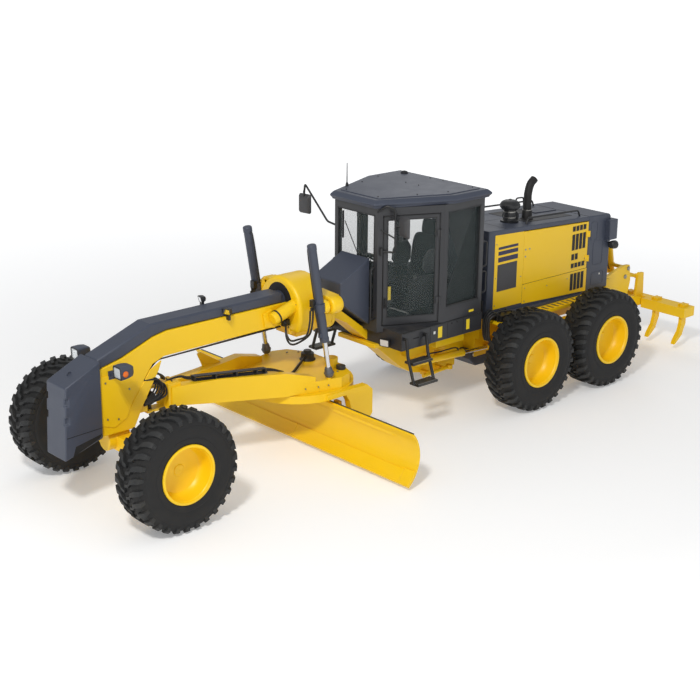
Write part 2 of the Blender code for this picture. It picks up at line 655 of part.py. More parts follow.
def cab_door(name, side):
    """One door: a frame round its glass, hung on the middle post."""
    along = Vector((CAB_MIDDLE - CAB_FRONT, CAB_MIDDLE_HALF - CAB_FRONT_HALF, 0)).normalized()
    out = Vector((along.y, -along.x, 0))
    start = Vector((CAB_FRONT, CAB_FRONT_HALF, 0)) + along * 0.077
    end = Vector((CAB_MIDDLE, CAB_MIDDLE_HALF, 0)) - along * 0.068
    hinge = end + along * RUNNING + out * HINGE_RADIUS
    body(f"cab_door_{name}", (hinge.x, side * hinge.y, 0), "front_frame")
    low, high = CAB_FLOOR + 0.028, ROOF_LOW - 0.108

    def panel(first, last, bottom, top, inner, outer):
        corners = [first + out * inner, last + out * inner, last + out * outer, first + out * outer]
        return prism([(c.x, c.y) for c in corners], "z", bottom, top)

    shells = [panel(start, end, low, high, -0.045, 0.0)]
    for height in (low + 0.25, high - 0.30):
        foot = hinge + Vector((0, 0, height))
        shells.append(rod(foot, foot + Vector((0, 0, 0.09)), HINGE_RADIUS - SEAT, 12))
        shells.append(panel(end - along * 0.04, end, height, height + 0.09, -0.01, HINGE_RADIUS))
    cuts = [panel(start + along * 0.055, end - along * 0.05, low + 0.10, high - 0.05, -0.1, 0.1)]
    piece(f"cab_door_{name}", f"cab_door_{name}", GREY, sided(shells, side), sided(cuts, side))


def seat():
    x = back(4.72)
    floor = CAB_FLOOR + SEAT
    shells = [
        block((x - 0.20, x + 0.20), (-0.20, 0.20), (floor, 1.62)),
        loft([[(x - 0.24, -0.25, 1.60), (x + 0.27, -0.25, 1.60), (x + 0.27, 0.25, 1.60), (x - 0.24, 0.25, 1.60)],
              [(x - 0.24, -0.25, 1.76), (x + 0.25, -0.25, 1.79), (x + 0.25, 0.25, 1.79), (x - 0.24, 0.25, 1.76)]]),
        prism([(x - 0.16, 1.72), (x - 0.27, 1.72), (x - 0.36, 2.36), (x - 0.27, 2.36)], "y", -0.24, 0.24),
        prism([(x - 0.27, 2.34), (x - 0.35, 2.34), (x - 0.38, 2.58), (x - 0.30, 2.58)], "y", -0.13, 0.13),
    ]
    piece("seat", "front_frame", SEAT_CLOTH, shells)


def ladder(name, side):
    """Two rails and two treads on the side of the cab base, leaning outwards to the foot."""
    face = CAB_MIDDLE_HALF + SEAT
    front, rear = back(3.82), back(4.18)
    shells = []
    for x in (front, rear):
        shells.append(pipe([(x, face, 1.32), (x, face + 0.05, 1.32), (x, 0.88, 1.10), (x, LADDER_FOOT_Y, LADDER_FOOT)], 0.022, 8))
    shells.append(block((rear, front), (0.82, 0.98), (1.00, 1.03)))
    shells.append(block((rear, front), (0.92, 1.08), (LADDER_FOOT - 0.01, LADDER_FOOT + 0.02)))
    piece(f"ladder_{name}", "front_frame", STEEL, sided(shells, side))


# ================================================================ articulation cylinders
STEER_FRONT = Vector((back(4.52), 0.36, 0.735))
STEER_REAR = Vector((back(5.88), 0.52, 0.735))


def articulation_cylinder(name, side):
    front = Vector((STEER_FRONT.x, side * STEER_FRONT.y, STEER_FRONT.z))
    rear = Vector((STEER_REAR.x, side * STEER_REAR.y, STEER_REAR.z))
    body(f"articulation_barrel_{name}", front, "front_frame")
    body(f"articulation_rod_{name}", front, f"articulation_barrel_{name}")
    line = (rear - front).normalized()
    mouth = front + line * 0.80
    shells = [rod(front + line * 0.02, mouth, 0.05, 16), rod(front - Vector((0, 0, 0.035)), front + Vector((0, 0, 0.035)), 0.05)]
    cuts = [rod(mouth - line * 0.56, mouth + line * 0.05, 0.029, 16)]
    piece(f"articulation_barrel_{name}", f"articulation_barrel_{name}", YELLOW, shells, cuts)
    shells = [rod(mouth - line * 0.30, rear - line * 0.02, 0.028, 16), rod(rear - Vector((0, 0, 0.035)), rear + Vector((0, 0, 0.035)), 0.05)]
    piece(f"articulation_rod_{name}", f"articulation_rod_{name}", CHROME, shells)


# ================================================================ engine end
def rear_frame():
    """Two rails, the pivot tongue, the axle box and the deck under the engine."""
    front = back(5.66)
    shells = [block((front, back(8.42)), (RAIL_OUTER, -RAIL_OUTER), (0.84, DECK - 0.04))]
    cuts = [block((back(6.00), back(8.30)), (RAIL_INNER, -RAIL_INNER), (0.70, DECK - 0.045))]
    shells.append(block((front, back(6.00)), (-0.34, 0.34), (FORK_LOW + SEAT, 0.90)))
    shells.append(block((front - 0.02, PIVOT - 0.02), (-0.13, 0.13), (FORK_LOW + SEAT, FORK_HIGH - SEAT)))
    shells.append(rod((PIVOT, 0, FORK_LOW + SEAT), (PIVOT, 0, FORK_HIGH - SEAT), 0.13, 20))
    shells.append(block((TANDEM_MIDDLE - 0.22, TANDEM_MIDDLE + 0.22), (RAIL_OUTER, -RAIL_OUTER), (0.50, 0.95)))
    shells.append(block((back(5.70), back(8.30)), (-0.78, 0.78), (DECK - 0.045, DECK)))
    for side in (1, -1):
        x, y, z = STEER_REAR.x, side * STEER_REAR.y, STEER_REAR.z
        for low, high in ((z - 0.085, z - 0.035 - SEAT), (z + 0.035 + SEAT, z + 0.085)):
            shells.append(block((x - 0.07, x + 0.05), (side * 0.30, y + side * 0.06), (low, high)))
    piece("rear_frame", "rear_frame", YELLOW, shells, cuts)


def engine_block():
    piece("engine_block", "rear_frame", STEEL, [block((back(6.30), back(7.62)), (-0.30, 0.30), (DECK + SEAT, 2.02))])


def hood_height(x):
    share = (HOOD_FRONT - x) / (HOOD_FRONT - HOOD_REAR)
    return HOOD_TOP_FRONT + (HOOD_TOP_REAR - HOOD_TOP_FRONT) * share


def above_hood():
    """A cutter that trims a fitting's foot to the sloping hood top."""
    ends = (HOOD_FRONT + 0.2, HOOD_REAR - 0.2)
    outline = [(ends[0], 1.9), (ends[0], hood_height(ends[0]) + SEAT), (ends[1], hood_height(ends[1]) + SEAT), (ends[1], 1.9)]
    return prism(outline, "y", -HOOD_HALF, HOOD_HALF)


def hood_shell():
    """The engine housing: front wall, sloping top, and on each side a full-height front column and
    the strip under the door."""
    skin = 0.065
    rear = PANEL_REAR + SEAT
    column = DOOR_FRONT + RUNNING
    outline = [(HOOD_FRONT, DECK + SEAT), (HOOD_FRONT, hood_height(HOOD_FRONT)), (rear, hood_height(rear)),
               (rear, hood_height(rear) - skin), (PANEL_FRONT, hood_height(PANEL_FRONT) - skin), (PANEL_FRONT, DECK + SEAT)]
    panel = [(PANEL_FRONT + 0.01, DECK + SEAT), (PANEL_FRONT + 0.01, hood_height(PANEL_FRONT) - 0.03),
             (column, hood_height(column) - 0.03), (column, DOOR_LOW - RUNNING), (rear, DOOR_LOW - RUNNING), (rear, DECK + SEAT)]
    shells = [prism(outline, "y", -HOOD_HALF, HOOD_HALF)]
    for side in (1, -1):
        shells.append(prism(panel, "y", side * (HOOD_HALF - HOOD_SKIN), side * HOOD_HALF))
    piece("hood_shell", "rear_frame", GREY, shells)


def hood_door(name, side):
    """The upper engine door, hinged on its rear edge."""
    body(f"hood_door_{name}", (PANEL_REAR, side * (HOOD_HALF + HINGE_RADIUS), 0), "rear_frame")
    top = 0.065 + RUNNING
    rear = PANEL_REAR + RUNNING
    shells = []
    for height in (DOOR_LOW + 0.10, hood_height(rear) - 0.30):
        foot = Vector((PANEL_REAR, HOOD_HALF + HINGE_RADIUS, height))
        shells.append(rod(foot, foot + Vector((0, 0, 0.09)), HINGE_RADIUS - SEAT, 12))
        shells.append(block((PANEL_REAR + 0.003, PANEL_REAR + 0.06), (HOOD_HALF - 0.01, HOOD_HALF + HINGE_RADIUS), (height, height + 0.09)))
    outline = [(DOOR_FRONT, DOOR_LOW), (DOOR_FRONT, hood_height(DOOR_FRONT) - top), (rear, hood_height(rear) - top), (rear, DOOR_LOW)]
    shells.insert(0, prism(outline, "y", HOOD_HALF - HOOD_SKIN, HOOD_HALF))
    piece(f"hood_door_{name}", f"hood_door_{name}", YELLOW, sided(shells, side))


def radiator_housing():
    top = hood_height(HOOD_REAR)
    outline = [(PANEL_REAR - SEAT, DECK + SEAT), (PANEL_REAR - SEAT, hood_height(PANEL_REAR)), (HOOD_REAR + 0.03, top),
               (HOOD_REAR, top - 0.04), (HOOD_REAR, DECK + SEAT)]
    piece("radiator_housing", "rear_frame", GREY, [prism(outline, "y", -HOOD_HALF, HOOD_HALF)])


def exhaust_stack():
    x, y = back(6.84), 0.20
    foot = hood_height(x)
    shells = [
        rod((x, y, foot - 0.03), (x, y, foot + 0.12), 0.075, 16),
        pipe([(x, y, foot + 0.06), (x, y, 2.82), (x - 0.015, y, 2.88), (x - 0.05, y, 2.93)], 0.045, 12),
    ]
    piece("exhaust_stack", "rear_frame", STEEL, shells, [above_hood()])


def precleaner():
    x, y = back(6.44), 0.20
    profile = [(-0.03, 0), (-0.03, 0.13), (0.03, 0.13), (0.04, 0.085), (0.17, 0.085), (0.22, 0.145),
               (0.28, 0.14), (0.33, 0)]
    shells = [lathe(profile, (x, y, hood_height(x)), (0, 0, 1), 20)]
    piece("precleaner", "rear_frame", STEEL, shells, [above_hood()])


# ================================================================ ripper
def upright_profile(foot, far):
    return [(foot.x + 0.06, 0.52), (far.x + 0.06, far.z + 0.03), (far.x + 0.02, far.z + 0.07), (far.x - 0.08, far.z + 0.06),
            (foot.x - 0.14, 0.70), (foot.x - 0.14, 0.52)]


def ripper_bracket():
    """Twin plates and a crosshead bolted behind the engine."""
    front = back(8.42) - SEAT
    inner, outer = RIPPER_PLATES["bracket"]
    shells = [block((front, front - 0.12), (-0.42, 0.42), (0.62, 1.20))]
    outline = [(front - 0.05, 0.64), (front - 0.05, 1.18), (RIPPER_LINK_PIN.x + 0.05, 1.31), (RIPPER_LINK_PIN.x - 0.10, 1.30),
               (RIPPER_LINK_PIN.x - 0.14, 1.05), (RIPPER_PIN.x - 0.10, 0.72), (RIPPER_PIN.x, 0.66)]
    for side in (1, -1):
        shells.append(prism(outline, "y", side * inner, side * outer))
        pin = RIPPER_TRUNNION + Vector((0, side * inner, 0))
        shells.append(rod(RIPPER_TRUNNION + Vector((0, side * (0.062 + SEAT), 0)), pin + Vector((0, side * 0.02, 0)), 0.03, 12))
    piece("ripper_bracket", "rear_frame", YELLOW, shells)


def ripper():
    """A parallelogram: lower arms, twin upper link, and the beam with its uprights and shanks."""
    foot = Vector((RIPPER_FOOT_X, 0, 0.62))
    reach = foot - RIPPER_PIN
    far = RIPPER_LINK_PIN + reach

    body("ripper_arms", RIPPER_PIN, "rear_frame")
    inner, outer = RIPPER_PLATES["arms"]
    outer -= SEAT
    shells = []
    across = Vector((-reach.z, 0, reach.x)).normalized() * 0.06
    for side in (1, -1):
        corners = [RIPPER_PIN + across, foot + across, foot - across, RIPPER_PIN - across]
        shells.append(prism([(c.x, c.z) for c in corners], "y", side * inner, side * outer))
        for end in (RIPPER_PIN, foot):
            shells.append(rod(end + Vector((0, side * inner, 0)), end + Vector((0, side * outer, 0)), 0.062, 12))
        shells.append(rod(RIPPER_EYE + Vector((0, side * (0.03 + SEAT), 0)), RIPPER_EYE + Vector((0, side * (inner + 0.02), 0)), 0.035, 12))
    shells.append(rod(RIPPER_PIN - Vector((0, inner + 0.02, 0)), RIPPER_PIN + Vector((0, inner + 0.02, 0)), 0.04, 12))
    piece("ripper_arms", "ripper_arms", YELLOW, shells)

    body("ripper_link", RIPPER_LINK_PIN, "rear_frame")
    inner, outer = RIPPER_PLATES["link"]
    shells = []
    for side in (1, -1):
        middle = Vector((0, side * (inner + outer) / 2, 0))
        shells.append(rod(RIPPER_LINK_PIN + middle, far + middle, 0.026, 10))
        for end in (RIPPER_LINK_PIN, far):
            shells.append(rod(end + Vector((0, side * inner, 0)), end + Vector((0, side * (outer - SEAT), 0)), 0.04, 12))
    gap = RIPPER_PLATES["bracket"][0] - SEAT
    shells.append(rod(far - Vector((0, inner + 0.01, 0)), far + Vector((0, inner + 0.01, 0)), 0.028, 12))
    for side in (1, -1):
        shells.append(rod(RIPPER_LINK_PIN + Vector((0, side * (inner + 0.01), 0)), RIPPER_LINK_PIN + Vector((0, side * gap, 0)), 0.028, 12))
    piece("ripper_link", "ripper_link", YELLOW, shells)

    body("ripper_beam", foot, "ripper_arms")
    inner, outer = RIPPER_PLATES["upright"]
    beam_x, beam_z = back(REAR_OVERHANG) + 0.13, 0.61
    beam = [(-0.13, -0.08), (0.13, -0.08), (0.13, 0.07), (-0.13, 0.07)]
    shells = [prism([(beam_x + dx, beam_z + dz) for dx, dz in beam], "y", -RIPPER_BEAM_HALF, RIPPER_BEAM_HALF)]
    for side in (1, -1):
        shells.append(prism(upright_profile(foot, far), "y", side * inner, side * (outer - SEAT)))
    shank = [(beam_x - 0.06, 0.72), (beam_x - 0.06, 0.40), (beam_x + 0.02, 0.22), (beam_x + 0.20, 0.10), (beam_x + 0.17, 0.16),
             (beam_x + 0.09, 0.28), (beam_x + 0.05, 0.42), (beam_x + 0.05, 0.72)]
    for y in (-1.0, -0.5, 0.0, 0.5, 1.0):
        shells.append(prism(shank, "y", y - 0.03, y + 0.03))
    low, high = RIPPER_PLATES["arms"]
    cuts = [block((foot.x - 0.08, foot.x + 0.2), (side * (low - 0.003), side * (high + 0.01)), (0.40, 0.80)) for side in (1, -1)]
    piece("ripper_beam", "ripper_beam", YELLOW, shells, cuts)

    body("ripper_barrel", RIPPER_TRUNNION, "rear_frame")
    body("ripper_rod", RIPPER_TRUNNION, "ripper_barrel")
    line = (RIPPER_TRUNNION - RIPPER_EYE).normalized()
    mouth = RIPPER_TRUNNION - line * 0.12
    piece("ripper_barrel", "ripper_barrel", YELLOW, [rod(mouth, RIPPER_TRUNNION + line * 0.34, 0.055),
          rod(RIPPER_TRUNNION - Vector((0, 0.062, 0)), RIPPER_TRUNNION + Vector((0, 0.062, 0)), 0.04, 12)],
          [rod(mouth - line * 0.05, mouth + line * 0.30, 0.031)])
    piece("ripper_rod", "ripper_rod", CHROME, [rod(RIPPER_EYE + line * 0.02, mouth + line * 0.10, 0.030),
          rod(RIPPER_EYE - Vector((0, 0.03, 0)), RIPPER_EYE + Vector((0, 0.03, 0)), 0.05)])


# ================================================================ assembly
def main():
    body("rear_frame", (TANDEM_MIDDLE, 0, TYRE_RADIUS))
    rear_frame()
    engine_block()
    hood_shell()
    radiator_housing()
    exhaust_stack()
    precleaner()
    ripper_bracket()
    ripper()
    for name, side in SIDES:
        tandem(name, side)
        hood_door(name, side)
        wheel(f"tandem_front_{name}", back(WHEELBASE_FIRST), REAR_HALF_TRACK, side, "rear_frame")
        wheel(f"tandem_rear_{name}", back(WHEELBASE_FIRST + TANDEM_SPACING), REAR_HALF_TRACK, side, "rear_frame")

    body("front_frame", (PIVOT, 0, FORK_LOW), "rear_frame")
    front_frame()
    beam_cover()
    counterweight()
    front_axle()
    saddle()
    cab_shell()
    cab_roof()
    cowl()
    seat()
    for name, side in SIDES:
        headlight(name, side)
        knuckle(name, side)
        wheel(f"front_{name}", FRONT_AXLE, FRONT_HALF_TRACK, side, f"knuckle_{name}")
        cab_door(name, side)
        ladder(name, side)
        articulation_cylinder(name, side)
    tie_rod()
    drawbar()
    circle()
    blade_carrier()
    moldboard()
    for name, side in SIDES:
        lift_cylinder(name, side)


main()
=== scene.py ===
# %% [markdown]
# # A motor grader, dressed
# The solids of the machine come in as a fixed frame: every casting, weldment and joint is already
# in place, in metres, with +X forward, +Y to the left and +Z up. This lesson gives them paint and
# rubber, and adds what a buyer sees up close: tread, bolts, glass, lamps, rails, hoses and seams.

# %% Load the frame
import json
from math import atan2, cos, pi, radians, sin

import bmesh
import bpy
from mathutils import Matrix, Vector


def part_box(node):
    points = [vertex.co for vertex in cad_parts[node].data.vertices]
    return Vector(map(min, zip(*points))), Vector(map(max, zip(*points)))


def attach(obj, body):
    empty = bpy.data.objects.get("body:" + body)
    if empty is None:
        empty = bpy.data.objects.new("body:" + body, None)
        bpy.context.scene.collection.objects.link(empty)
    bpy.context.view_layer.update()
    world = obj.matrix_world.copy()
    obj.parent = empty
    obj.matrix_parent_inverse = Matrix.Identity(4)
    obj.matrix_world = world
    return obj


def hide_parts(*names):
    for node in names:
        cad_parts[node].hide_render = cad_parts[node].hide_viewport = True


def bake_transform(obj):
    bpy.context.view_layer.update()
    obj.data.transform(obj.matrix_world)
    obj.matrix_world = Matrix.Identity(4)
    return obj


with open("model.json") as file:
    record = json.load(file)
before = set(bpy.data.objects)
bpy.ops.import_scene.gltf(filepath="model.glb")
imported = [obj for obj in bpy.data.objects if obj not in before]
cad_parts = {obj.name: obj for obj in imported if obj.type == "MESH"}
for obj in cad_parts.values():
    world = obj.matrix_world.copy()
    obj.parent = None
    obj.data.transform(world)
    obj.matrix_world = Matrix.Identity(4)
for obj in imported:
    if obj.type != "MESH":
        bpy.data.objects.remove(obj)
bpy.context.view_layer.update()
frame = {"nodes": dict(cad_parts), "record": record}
nodes = frame["nodes"]

# %% [markdown]
# The camera stands high off the front left corner and looks down on the machine, with a long lens
# so that the front wheel isn't swollen. It comes first, because it decides which sides get the
# closest work.

# %% Camera
CAMERA_PLACE = Vector((12.877, 13.196, 6.935))
CAMERA_YAW, CAMERA_PITCH, CAMERA_ROLL = radians(-132.311), radians(-18.340), radians(0.513)

aim = Vector((cos(CAMERA_YAW) * cos(CAMERA_PITCH), sin(CAMERA_YAW) * cos(CAMERA_PITCH), sin(CAMERA_PITCH)))
right = aim.cross(Vector((0, 0, 1))).normalized()
up = right.cross(aim)
tilted_right = right * cos(CAMERA_ROLL) + up * sin(CAMERA_ROLL)
tilted_up = up * cos(CAMERA_ROLL) - right * sin(CAMERA_ROLL)
camera_data = bpy.data.cameras.new("three_quarter_view")
camera_data.lens = 73.32
camera_data.clip_end = 200
camera = bpy.data.objects.new("three_quarter_view", camera_data)
axes = Matrix((tilted_right, tilted_up, -aim)).transposed().to_4x4()
camera.matrix_world = Matrix.Translation(CAMERA_PLACE) @ axes
bpy.context.scene.collection.objects.link(camera)
bpy.context.scene.camera = camera
print("camera", tuple(round(number, 2) for number in camera.location))

# %% [markdown]
# The studio is a pale floor, an even sky and three round lamps: a strong small one from the front
# left for firm shadows, a faint large one from the left side, and one from behind that lights the
# top edges. The floor also glows, more with distance, so that it fades into the sky with no line.

# %% Floor and light
def soft_lamp(name, place, target, size, watts, colour=(1, 1, 1)):
    data = bpy.data.lights.new(name, "AREA")
    data.shape, data.size, data.energy, data.color = "DISK", size, watts, colour
    lamp = bpy.data.objects.new(name, data)
    lamp.location = place
    lamp.rotation_euler = (Vector(target) - Vector(place)).to_track_quat("-Z", "Y").to_euler()
    bpy.context.scene.collection.objects.link(lamp)
    return lamp


soft_lamp("key", (14, 9, 15), (0, 0, 0.8), 2.5, 2150, (1.0, 0.98, 0.94))
soft_lamp("fill", (6, 15, 5), (0, 0, 1.0), 8, 120, (0.96, 0.98, 1.0))
soft_lamp("rim", (-11, -9, 10), (-1, 0, 1.5), 7, 160)
world = bpy.data.worlds.new("studio")
bpy.context.scene.world = world
world.use_nodes = True
sky = world.node_tree
sky.nodes["Background"].inputs["Color"].default_value = (0.95, 0.97, 1.0, 1)
sky_seen = sky.nodes.new("ShaderNodeLightPath")
sky_strength = sky.nodes.new("ShaderNodeMapRange")
sky_strength.inputs["To Min"].default_value, sky_strength.inputs["To Max"].default_value = 0.50, 1.3
sky.links.new(sky_seen.outputs["Is Camera Ray"], sky_strength.inputs["Value"])
sky.links.new(sky_strength.outputs[0], sky.nodes["Background"].inputs["Strength"])
bpy.context.scene.view_settings.view_transform = "Standard"

floor_mesh = bpy.data.meshes.new("floor")
REACH = 60
floor_mesh.from_pydata([(-REACH, -REACH, 0), (REACH, -REACH, 0), (REACH, REACH, 0), (-REACH, REACH, 0)], [],
    [(0, 1, 2, 3)])
floor = bpy.data.objects.new("floor", floor_mesh)
bpy.context.scene.collection.objects.link(floor)
floor_paint = bpy.data.materials.new("pale_floor")
floor_paint.use_nodes = True
floor_shader = floor_paint.node_tree.nodes["Principled BSDF"]
floor_shader.inputs["Base Color"].default_value = (0.86, 0.86, 0.86, 1)
floor_shader.inputs["Roughness"].default_value = 0.9
floor_shader.inputs["Emission Color"].default_value = (1, 1, 1, 1)
floor_place = floor_paint.node_tree.nodes.new("ShaderNodeNewGeometry")
floor_distance = floor_paint.node_tree.nodes.new("ShaderNodeVectorMath")
floor_distance.operation = "LENGTH"
floor_glow = floor_paint.node_tree.nodes.new("ShaderNodeMapRange")
for socket, value in (("From Min", 5.0), ("From Max", 16.0), ("To Min", 0.22), ("To Max", 0.62)):
    floor_glow.inputs[socket].default_value = value
floor_paint.node_tree.links.new(floor_place.outputs["Position"], floor_distance.inputs[0])
floor_paint.node_tree.links.new(floor_distance.outputs["Value"], floor_glow.inputs["Value"])
floor_paint.node_tree.links.new(floor_glow.outputs[0], floor_shader.inputs["Emission Strength"])
floor_mesh.materials.append(floor_paint)
print("floor and lamps in place")

# %% [markdown]
# Machine paint is never one flat colour. It has a faint orange-peel skin, slow drifts of tone over a
# large panel, and road dust that settles on what faces up and on what is near the ground. One node
# group makes all three from the place of each point, and every painted finish uses it with its own
# amounts.

# %% The ageing group
def shader_group(name, inputs, outputs):
    group = bpy.data.node_groups.new(name, "ShaderNodeTree")
    for label, kind, default in inputs:
        socket = group.interface.new_socket(label, in_out="INPUT", socket_type=kind)
        socket.default_value = default
    for label, kind in outputs:
        group.interface.new_socket(label, in_out="OUTPUT", socket_type=kind)
    return group, group.nodes.new("NodeGroupInput"), group.nodes.new("NodeGroupOutput")


def add_node(tree, kind, **settings):
    node = tree.nodes.new(kind)
    for name, value in settings.items():
        setattr(node, name, value)
    return node


def math_node(tree, operation, first, second=0.0, clamp=False):
    node = add_node(tree, "ShaderNodeMath", operation=operation, use_clamp=clamp)
    for place, value in enumerate((first, second)):
        if isinstance(value, (int, float)):
            node.inputs[place].default_value = value
        else:
            tree.links.new(value, node.inputs[place])
    return node.outputs[0]


def noise_node(tree, place, scale, detail=3.0):
    node = add_node(tree, "ShaderNodeTexNoise")
    tree.links.new(place, node.inputs["Vector"])
    if isinstance(scale, (int, float)):
        node.inputs["Scale"].default_value = scale
    else:
        tree.links.new(scale, node.inputs["Scale"])
    node.inputs["Detail"].default_value = detail
    return node.outputs["Fac"]


def mix_colour(tree, share, first, second):
    node = add_node(tree, "ShaderNodeMix", data_type="RGBA")
    for socket, value in ((node.inputs[0], share), (node.inputs[6], first), (node.inputs[7], second)):
        if isinstance(value, tuple):
            socket.default_value = value
        elif isinstance(value, (int, float)):
            socket.default_value = value
        else:
            tree.links.new(value, socket)
    return node.outputs[2]


def build_ageing():
    group, given, result = shader_group("Ageing", [
        ("Paint", "NodeSocketColor", (0.5, 0.5, 0.5, 1)), ("Dust", "NodeSocketColor", (0.30, 0.26, 0.20, 1)),
        ("Dust Amount", "NodeSocketFloat", 0.3), ("Drift", "NodeSocketFloat", 0.15),
        ("Roughness", "NodeSocketFloat", 0.35), ("Grain Scale", "NodeSocketFloat", 220.0),
    ], [("Color", "NodeSocketColor"), ("Roughness", "NodeSocketFloat"), ("Height", "NodeSocketFloat")])
    place = group.nodes.new("ShaderNodeTexCoord").outputs["Object"]
    geometry = group.nodes.new("ShaderNodeNewGeometry")
    split = group.nodes.new("ShaderNodeSeparateXYZ")
    group.links.new(geometry.outputs["Normal"], split.inputs[0])
    heights = group.nodes.new("ShaderNodeSeparateXYZ")
    group.links.new(place, heights.inputs[0])
    drift = math_node(group, "MULTIPLY", noise_node(group, place, 1.7), given.outputs["Drift"])
    patches = noise_node(group, place, 6.0, 6.0)
    facing = math_node(group, "MULTIPLY", split.outputs["Z"], 0.55, clamp=True)
    low = add_node(group, "ShaderNodeMapRange")
    low.inputs["From Min"].default_value, low.inputs["From Max"].default_value = 1.3, 0.1
    group.links.new(heights.outputs["Z"], low.inputs["Value"])
    dusty = math_node(group, "ADD", facing, low.outputs[0])
    speckle = math_node(group, "SUBTRACT", patches, 0.42, clamp=True)
    mask = math_node(group, "MULTIPLY", math_node(group, "MULTIPLY", dusty, speckle), 3.0)
    mask = math_node(group, "MULTIPLY", mask, given.outputs["Dust Amount"], clamp=True)
    darker = mix_colour(group, drift, given.outputs["Paint"], (0, 0, 0, 1))
    group.links.new(mix_colour(group, mask, darker, given.outputs["Dust"]), result.inputs["Color"])
    wobble = math_node(group, "MULTIPLY", math_node(group, "SUBTRACT", patches, 0.5), 0.16)
    rough = math_node(group, "ADD", given.outputs["Roughness"], wobble)
    rough = math_node(group, "ADD", rough, math_node(group, "MULTIPLY", mask, 0.4), clamp=True)
    group.links.new(rough, result.inputs["Roughness"])
    group.links.new(noise_node(group, place, given.outputs["Grain Scale"], 2.0), result.inputs["Height"])
    return group


AGEING = build_ageing()
print("ageing group with", len(AGEING.nodes), "nodes")

# %% [markdown]
# Each finish is a Principled shader with the ageing group in front of it. What is the same all over,
# such as metallic or coat, is set on the shader itself. The bump is a fraction of a millimetre, as on
# sprayed steel; rubber and cloth get more.

# %% Finishes
def finish(name, colour, roughness, metallic=0.0, dust=0.3, drift=0.15, grain=220.0, bump=0.0004, coat=0.0):
    material = bpy.data.materials.new(name)
    material.use_nodes = True
    tree = material.node_tree
    shader = tree.nodes["Principled BSDF"]
    aged = add_node(tree, "ShaderNodeGroup", node_tree=AGEING)
    aged.inputs["Paint"].default_value = (*colour, 1)
    aged.inputs["Dust Amount"].default_value = dust
    aged.inputs["Drift"].default_value = drift
    aged.inputs["Roughness"].default_value = roughness
    aged.inputs["Grain Scale"].default_value = grain
    tree.links.new(aged.outputs["Color"], shader.inputs["Base Color"])
    tree.links.new(aged.outputs["Roughness"], shader.inputs["Roughness"])
    height = add_node(tree, "ShaderNodeBump")
    height.inputs["Distance"].default_value = bump
    tree.links.new(aged.outputs["Height"], height.inputs["Height"])
    tree.links.new(height.outputs["Normal"], shader.inputs["Normal"])
    shader.inputs["Metallic"].default_value = metallic
    shader.inputs["Coat Weight"].default_value = coat
    shader.inputs["Coat Roughness"].default_value = 0.12
    return material


YELLOW = finish("machine_yellow", (0.93, 0.585, 0.004), 0.40, dust=0.015, drift=0.07)
SLATE = finish("slate_enamel", (0.052, 0.062, 0.092), 0.48, dust=0.03, drift=0.18, coat=0.03)
TREAD = finish("tread_rubber", (0.013, 0.014, 0.015), 0.62, dust=0.08, drift=0.3, grain=160, bump=0.0012)
SIDEWALL = finish("sidewall_rubber", (0.006, 0.006, 0.0065), 0.72, dust=0.04, drift=0.3,
    grain=260, bump=0.0006)
BLACK = finish("black_enamel", (0.014, 0.015, 0.017), 0.40, dust=0.25)
PLASTIC = finish("black_plastic", (0.020, 0.021, 0.023), 0.55, dust=0.2, grain=400, bump=0.0005)
HOSE = finish("hose_rubber", (0.012, 0.012, 0.013), 0.5, dust=0.2, grain=500, bump=0.0004)
CHROME = finish("chromed_rod", (0.75, 0.76, 0.78), 0.10, metallic=1.0, dust=0.05, drift=0.05, bump=0.00005)
ZINC = finish("zinc_bolt", (0.42, 0.41, 0.38), 0.35, metallic=1.0, dust=0.3, drift=0.4)
STEEL_GREY = finish("cast_steel", (0.16, 0.16, 0.165), 0.45, metallic=0.6, dust=0.35, drift=0.3)
GUARD_GREY = finish("moulded_grey", (0.055, 0.055, 0.060), 0.5, dust=0.1, drift=0.2, grain=400, bump=0.0005)
CHARCOAL = finish("charcoal_enamel", (0.026, 0.027, 0.031), 0.42, dust=0.15, drift=0.2, coat=0.1)
# Near-black for dark seams, and painted shade on flat sheets where slots, mouths and pockets are not hollow.
SEAM_BLACK_AND_PAINTED_SHADE = finish("seam_black_and_painted_shade", (0.006, 0.006, 0.007), 0.8, dust=0.1)
NAVY = finish("navy_decal", (0.013, 0.012, 0.060), 0.35, dust=0.1)
LABEL = finish("label_yellow", (0.85, 0.62, 0.02), 0.4, dust=0.1)
PAPER = finish("label_white", (0.72, 0.72, 0.70), 0.4, dust=0.2)
INTERIOR = finish("cab_trim", (0.022, 0.022, 0.024), 0.75, dust=0.05, grain=120, bump=0.0002)
REFLECTOR = finish("lamp_reflector", (0.85, 0.86, 0.88), 0.08, metallic=1.0, dust=0.0, drift=0.0, bump=0.0)
print("finishes ready:", len(bpy.data.materials))

# %% [markdown]
# Most of what follows is made from a few plain shapes: a slab with a drawn outline, a turned
# profile, a tube along a path and a hexagonal bolt head. Each helper returns a small mesh, and
# `build` joins a list of them into one named piece, rounds its edges with a bevel, gives it a finish
# and lets it ride on the body that carries it.

# %% Shape helpers
def slab(outline, axis, low, high):
    """A solid slab. The outline's number pairs are the two other axes, in X, Y, Z order."""
    shell = bmesh.new()
    rings = []
    for along in (low, high):
        ring = []
        for pair in outline:
            numbers = list(pair)
            numbers.insert("xyz".index(axis), along)
            ring.append(shell.verts.new(numbers))
        rings.append(ring)
        shell.faces.new(ring)
    for here in range(len(outline)):
        there = (here + 1) % len(outline)
        shell.faces.new((rings[0][here], rings[0][there], rings[1][there], rings[1][here]))
    bmesh.ops.recalc_face_normals(shell, faces=shell.faces)
    return shell


def box_between(low, high):
    (x0, y0, z0), (x1, y1, z1) = low, high
    x0, x1, y0, y1, z0, z1 = min(x0, x1), max(x0, x1), min(y0, y1), max(y0, y1), min(z0, z1), max(z0, z1)
    return slab([(x0, y0), (x1, y0), (x1, y1), (x0, y1)], "z", z0, z1)


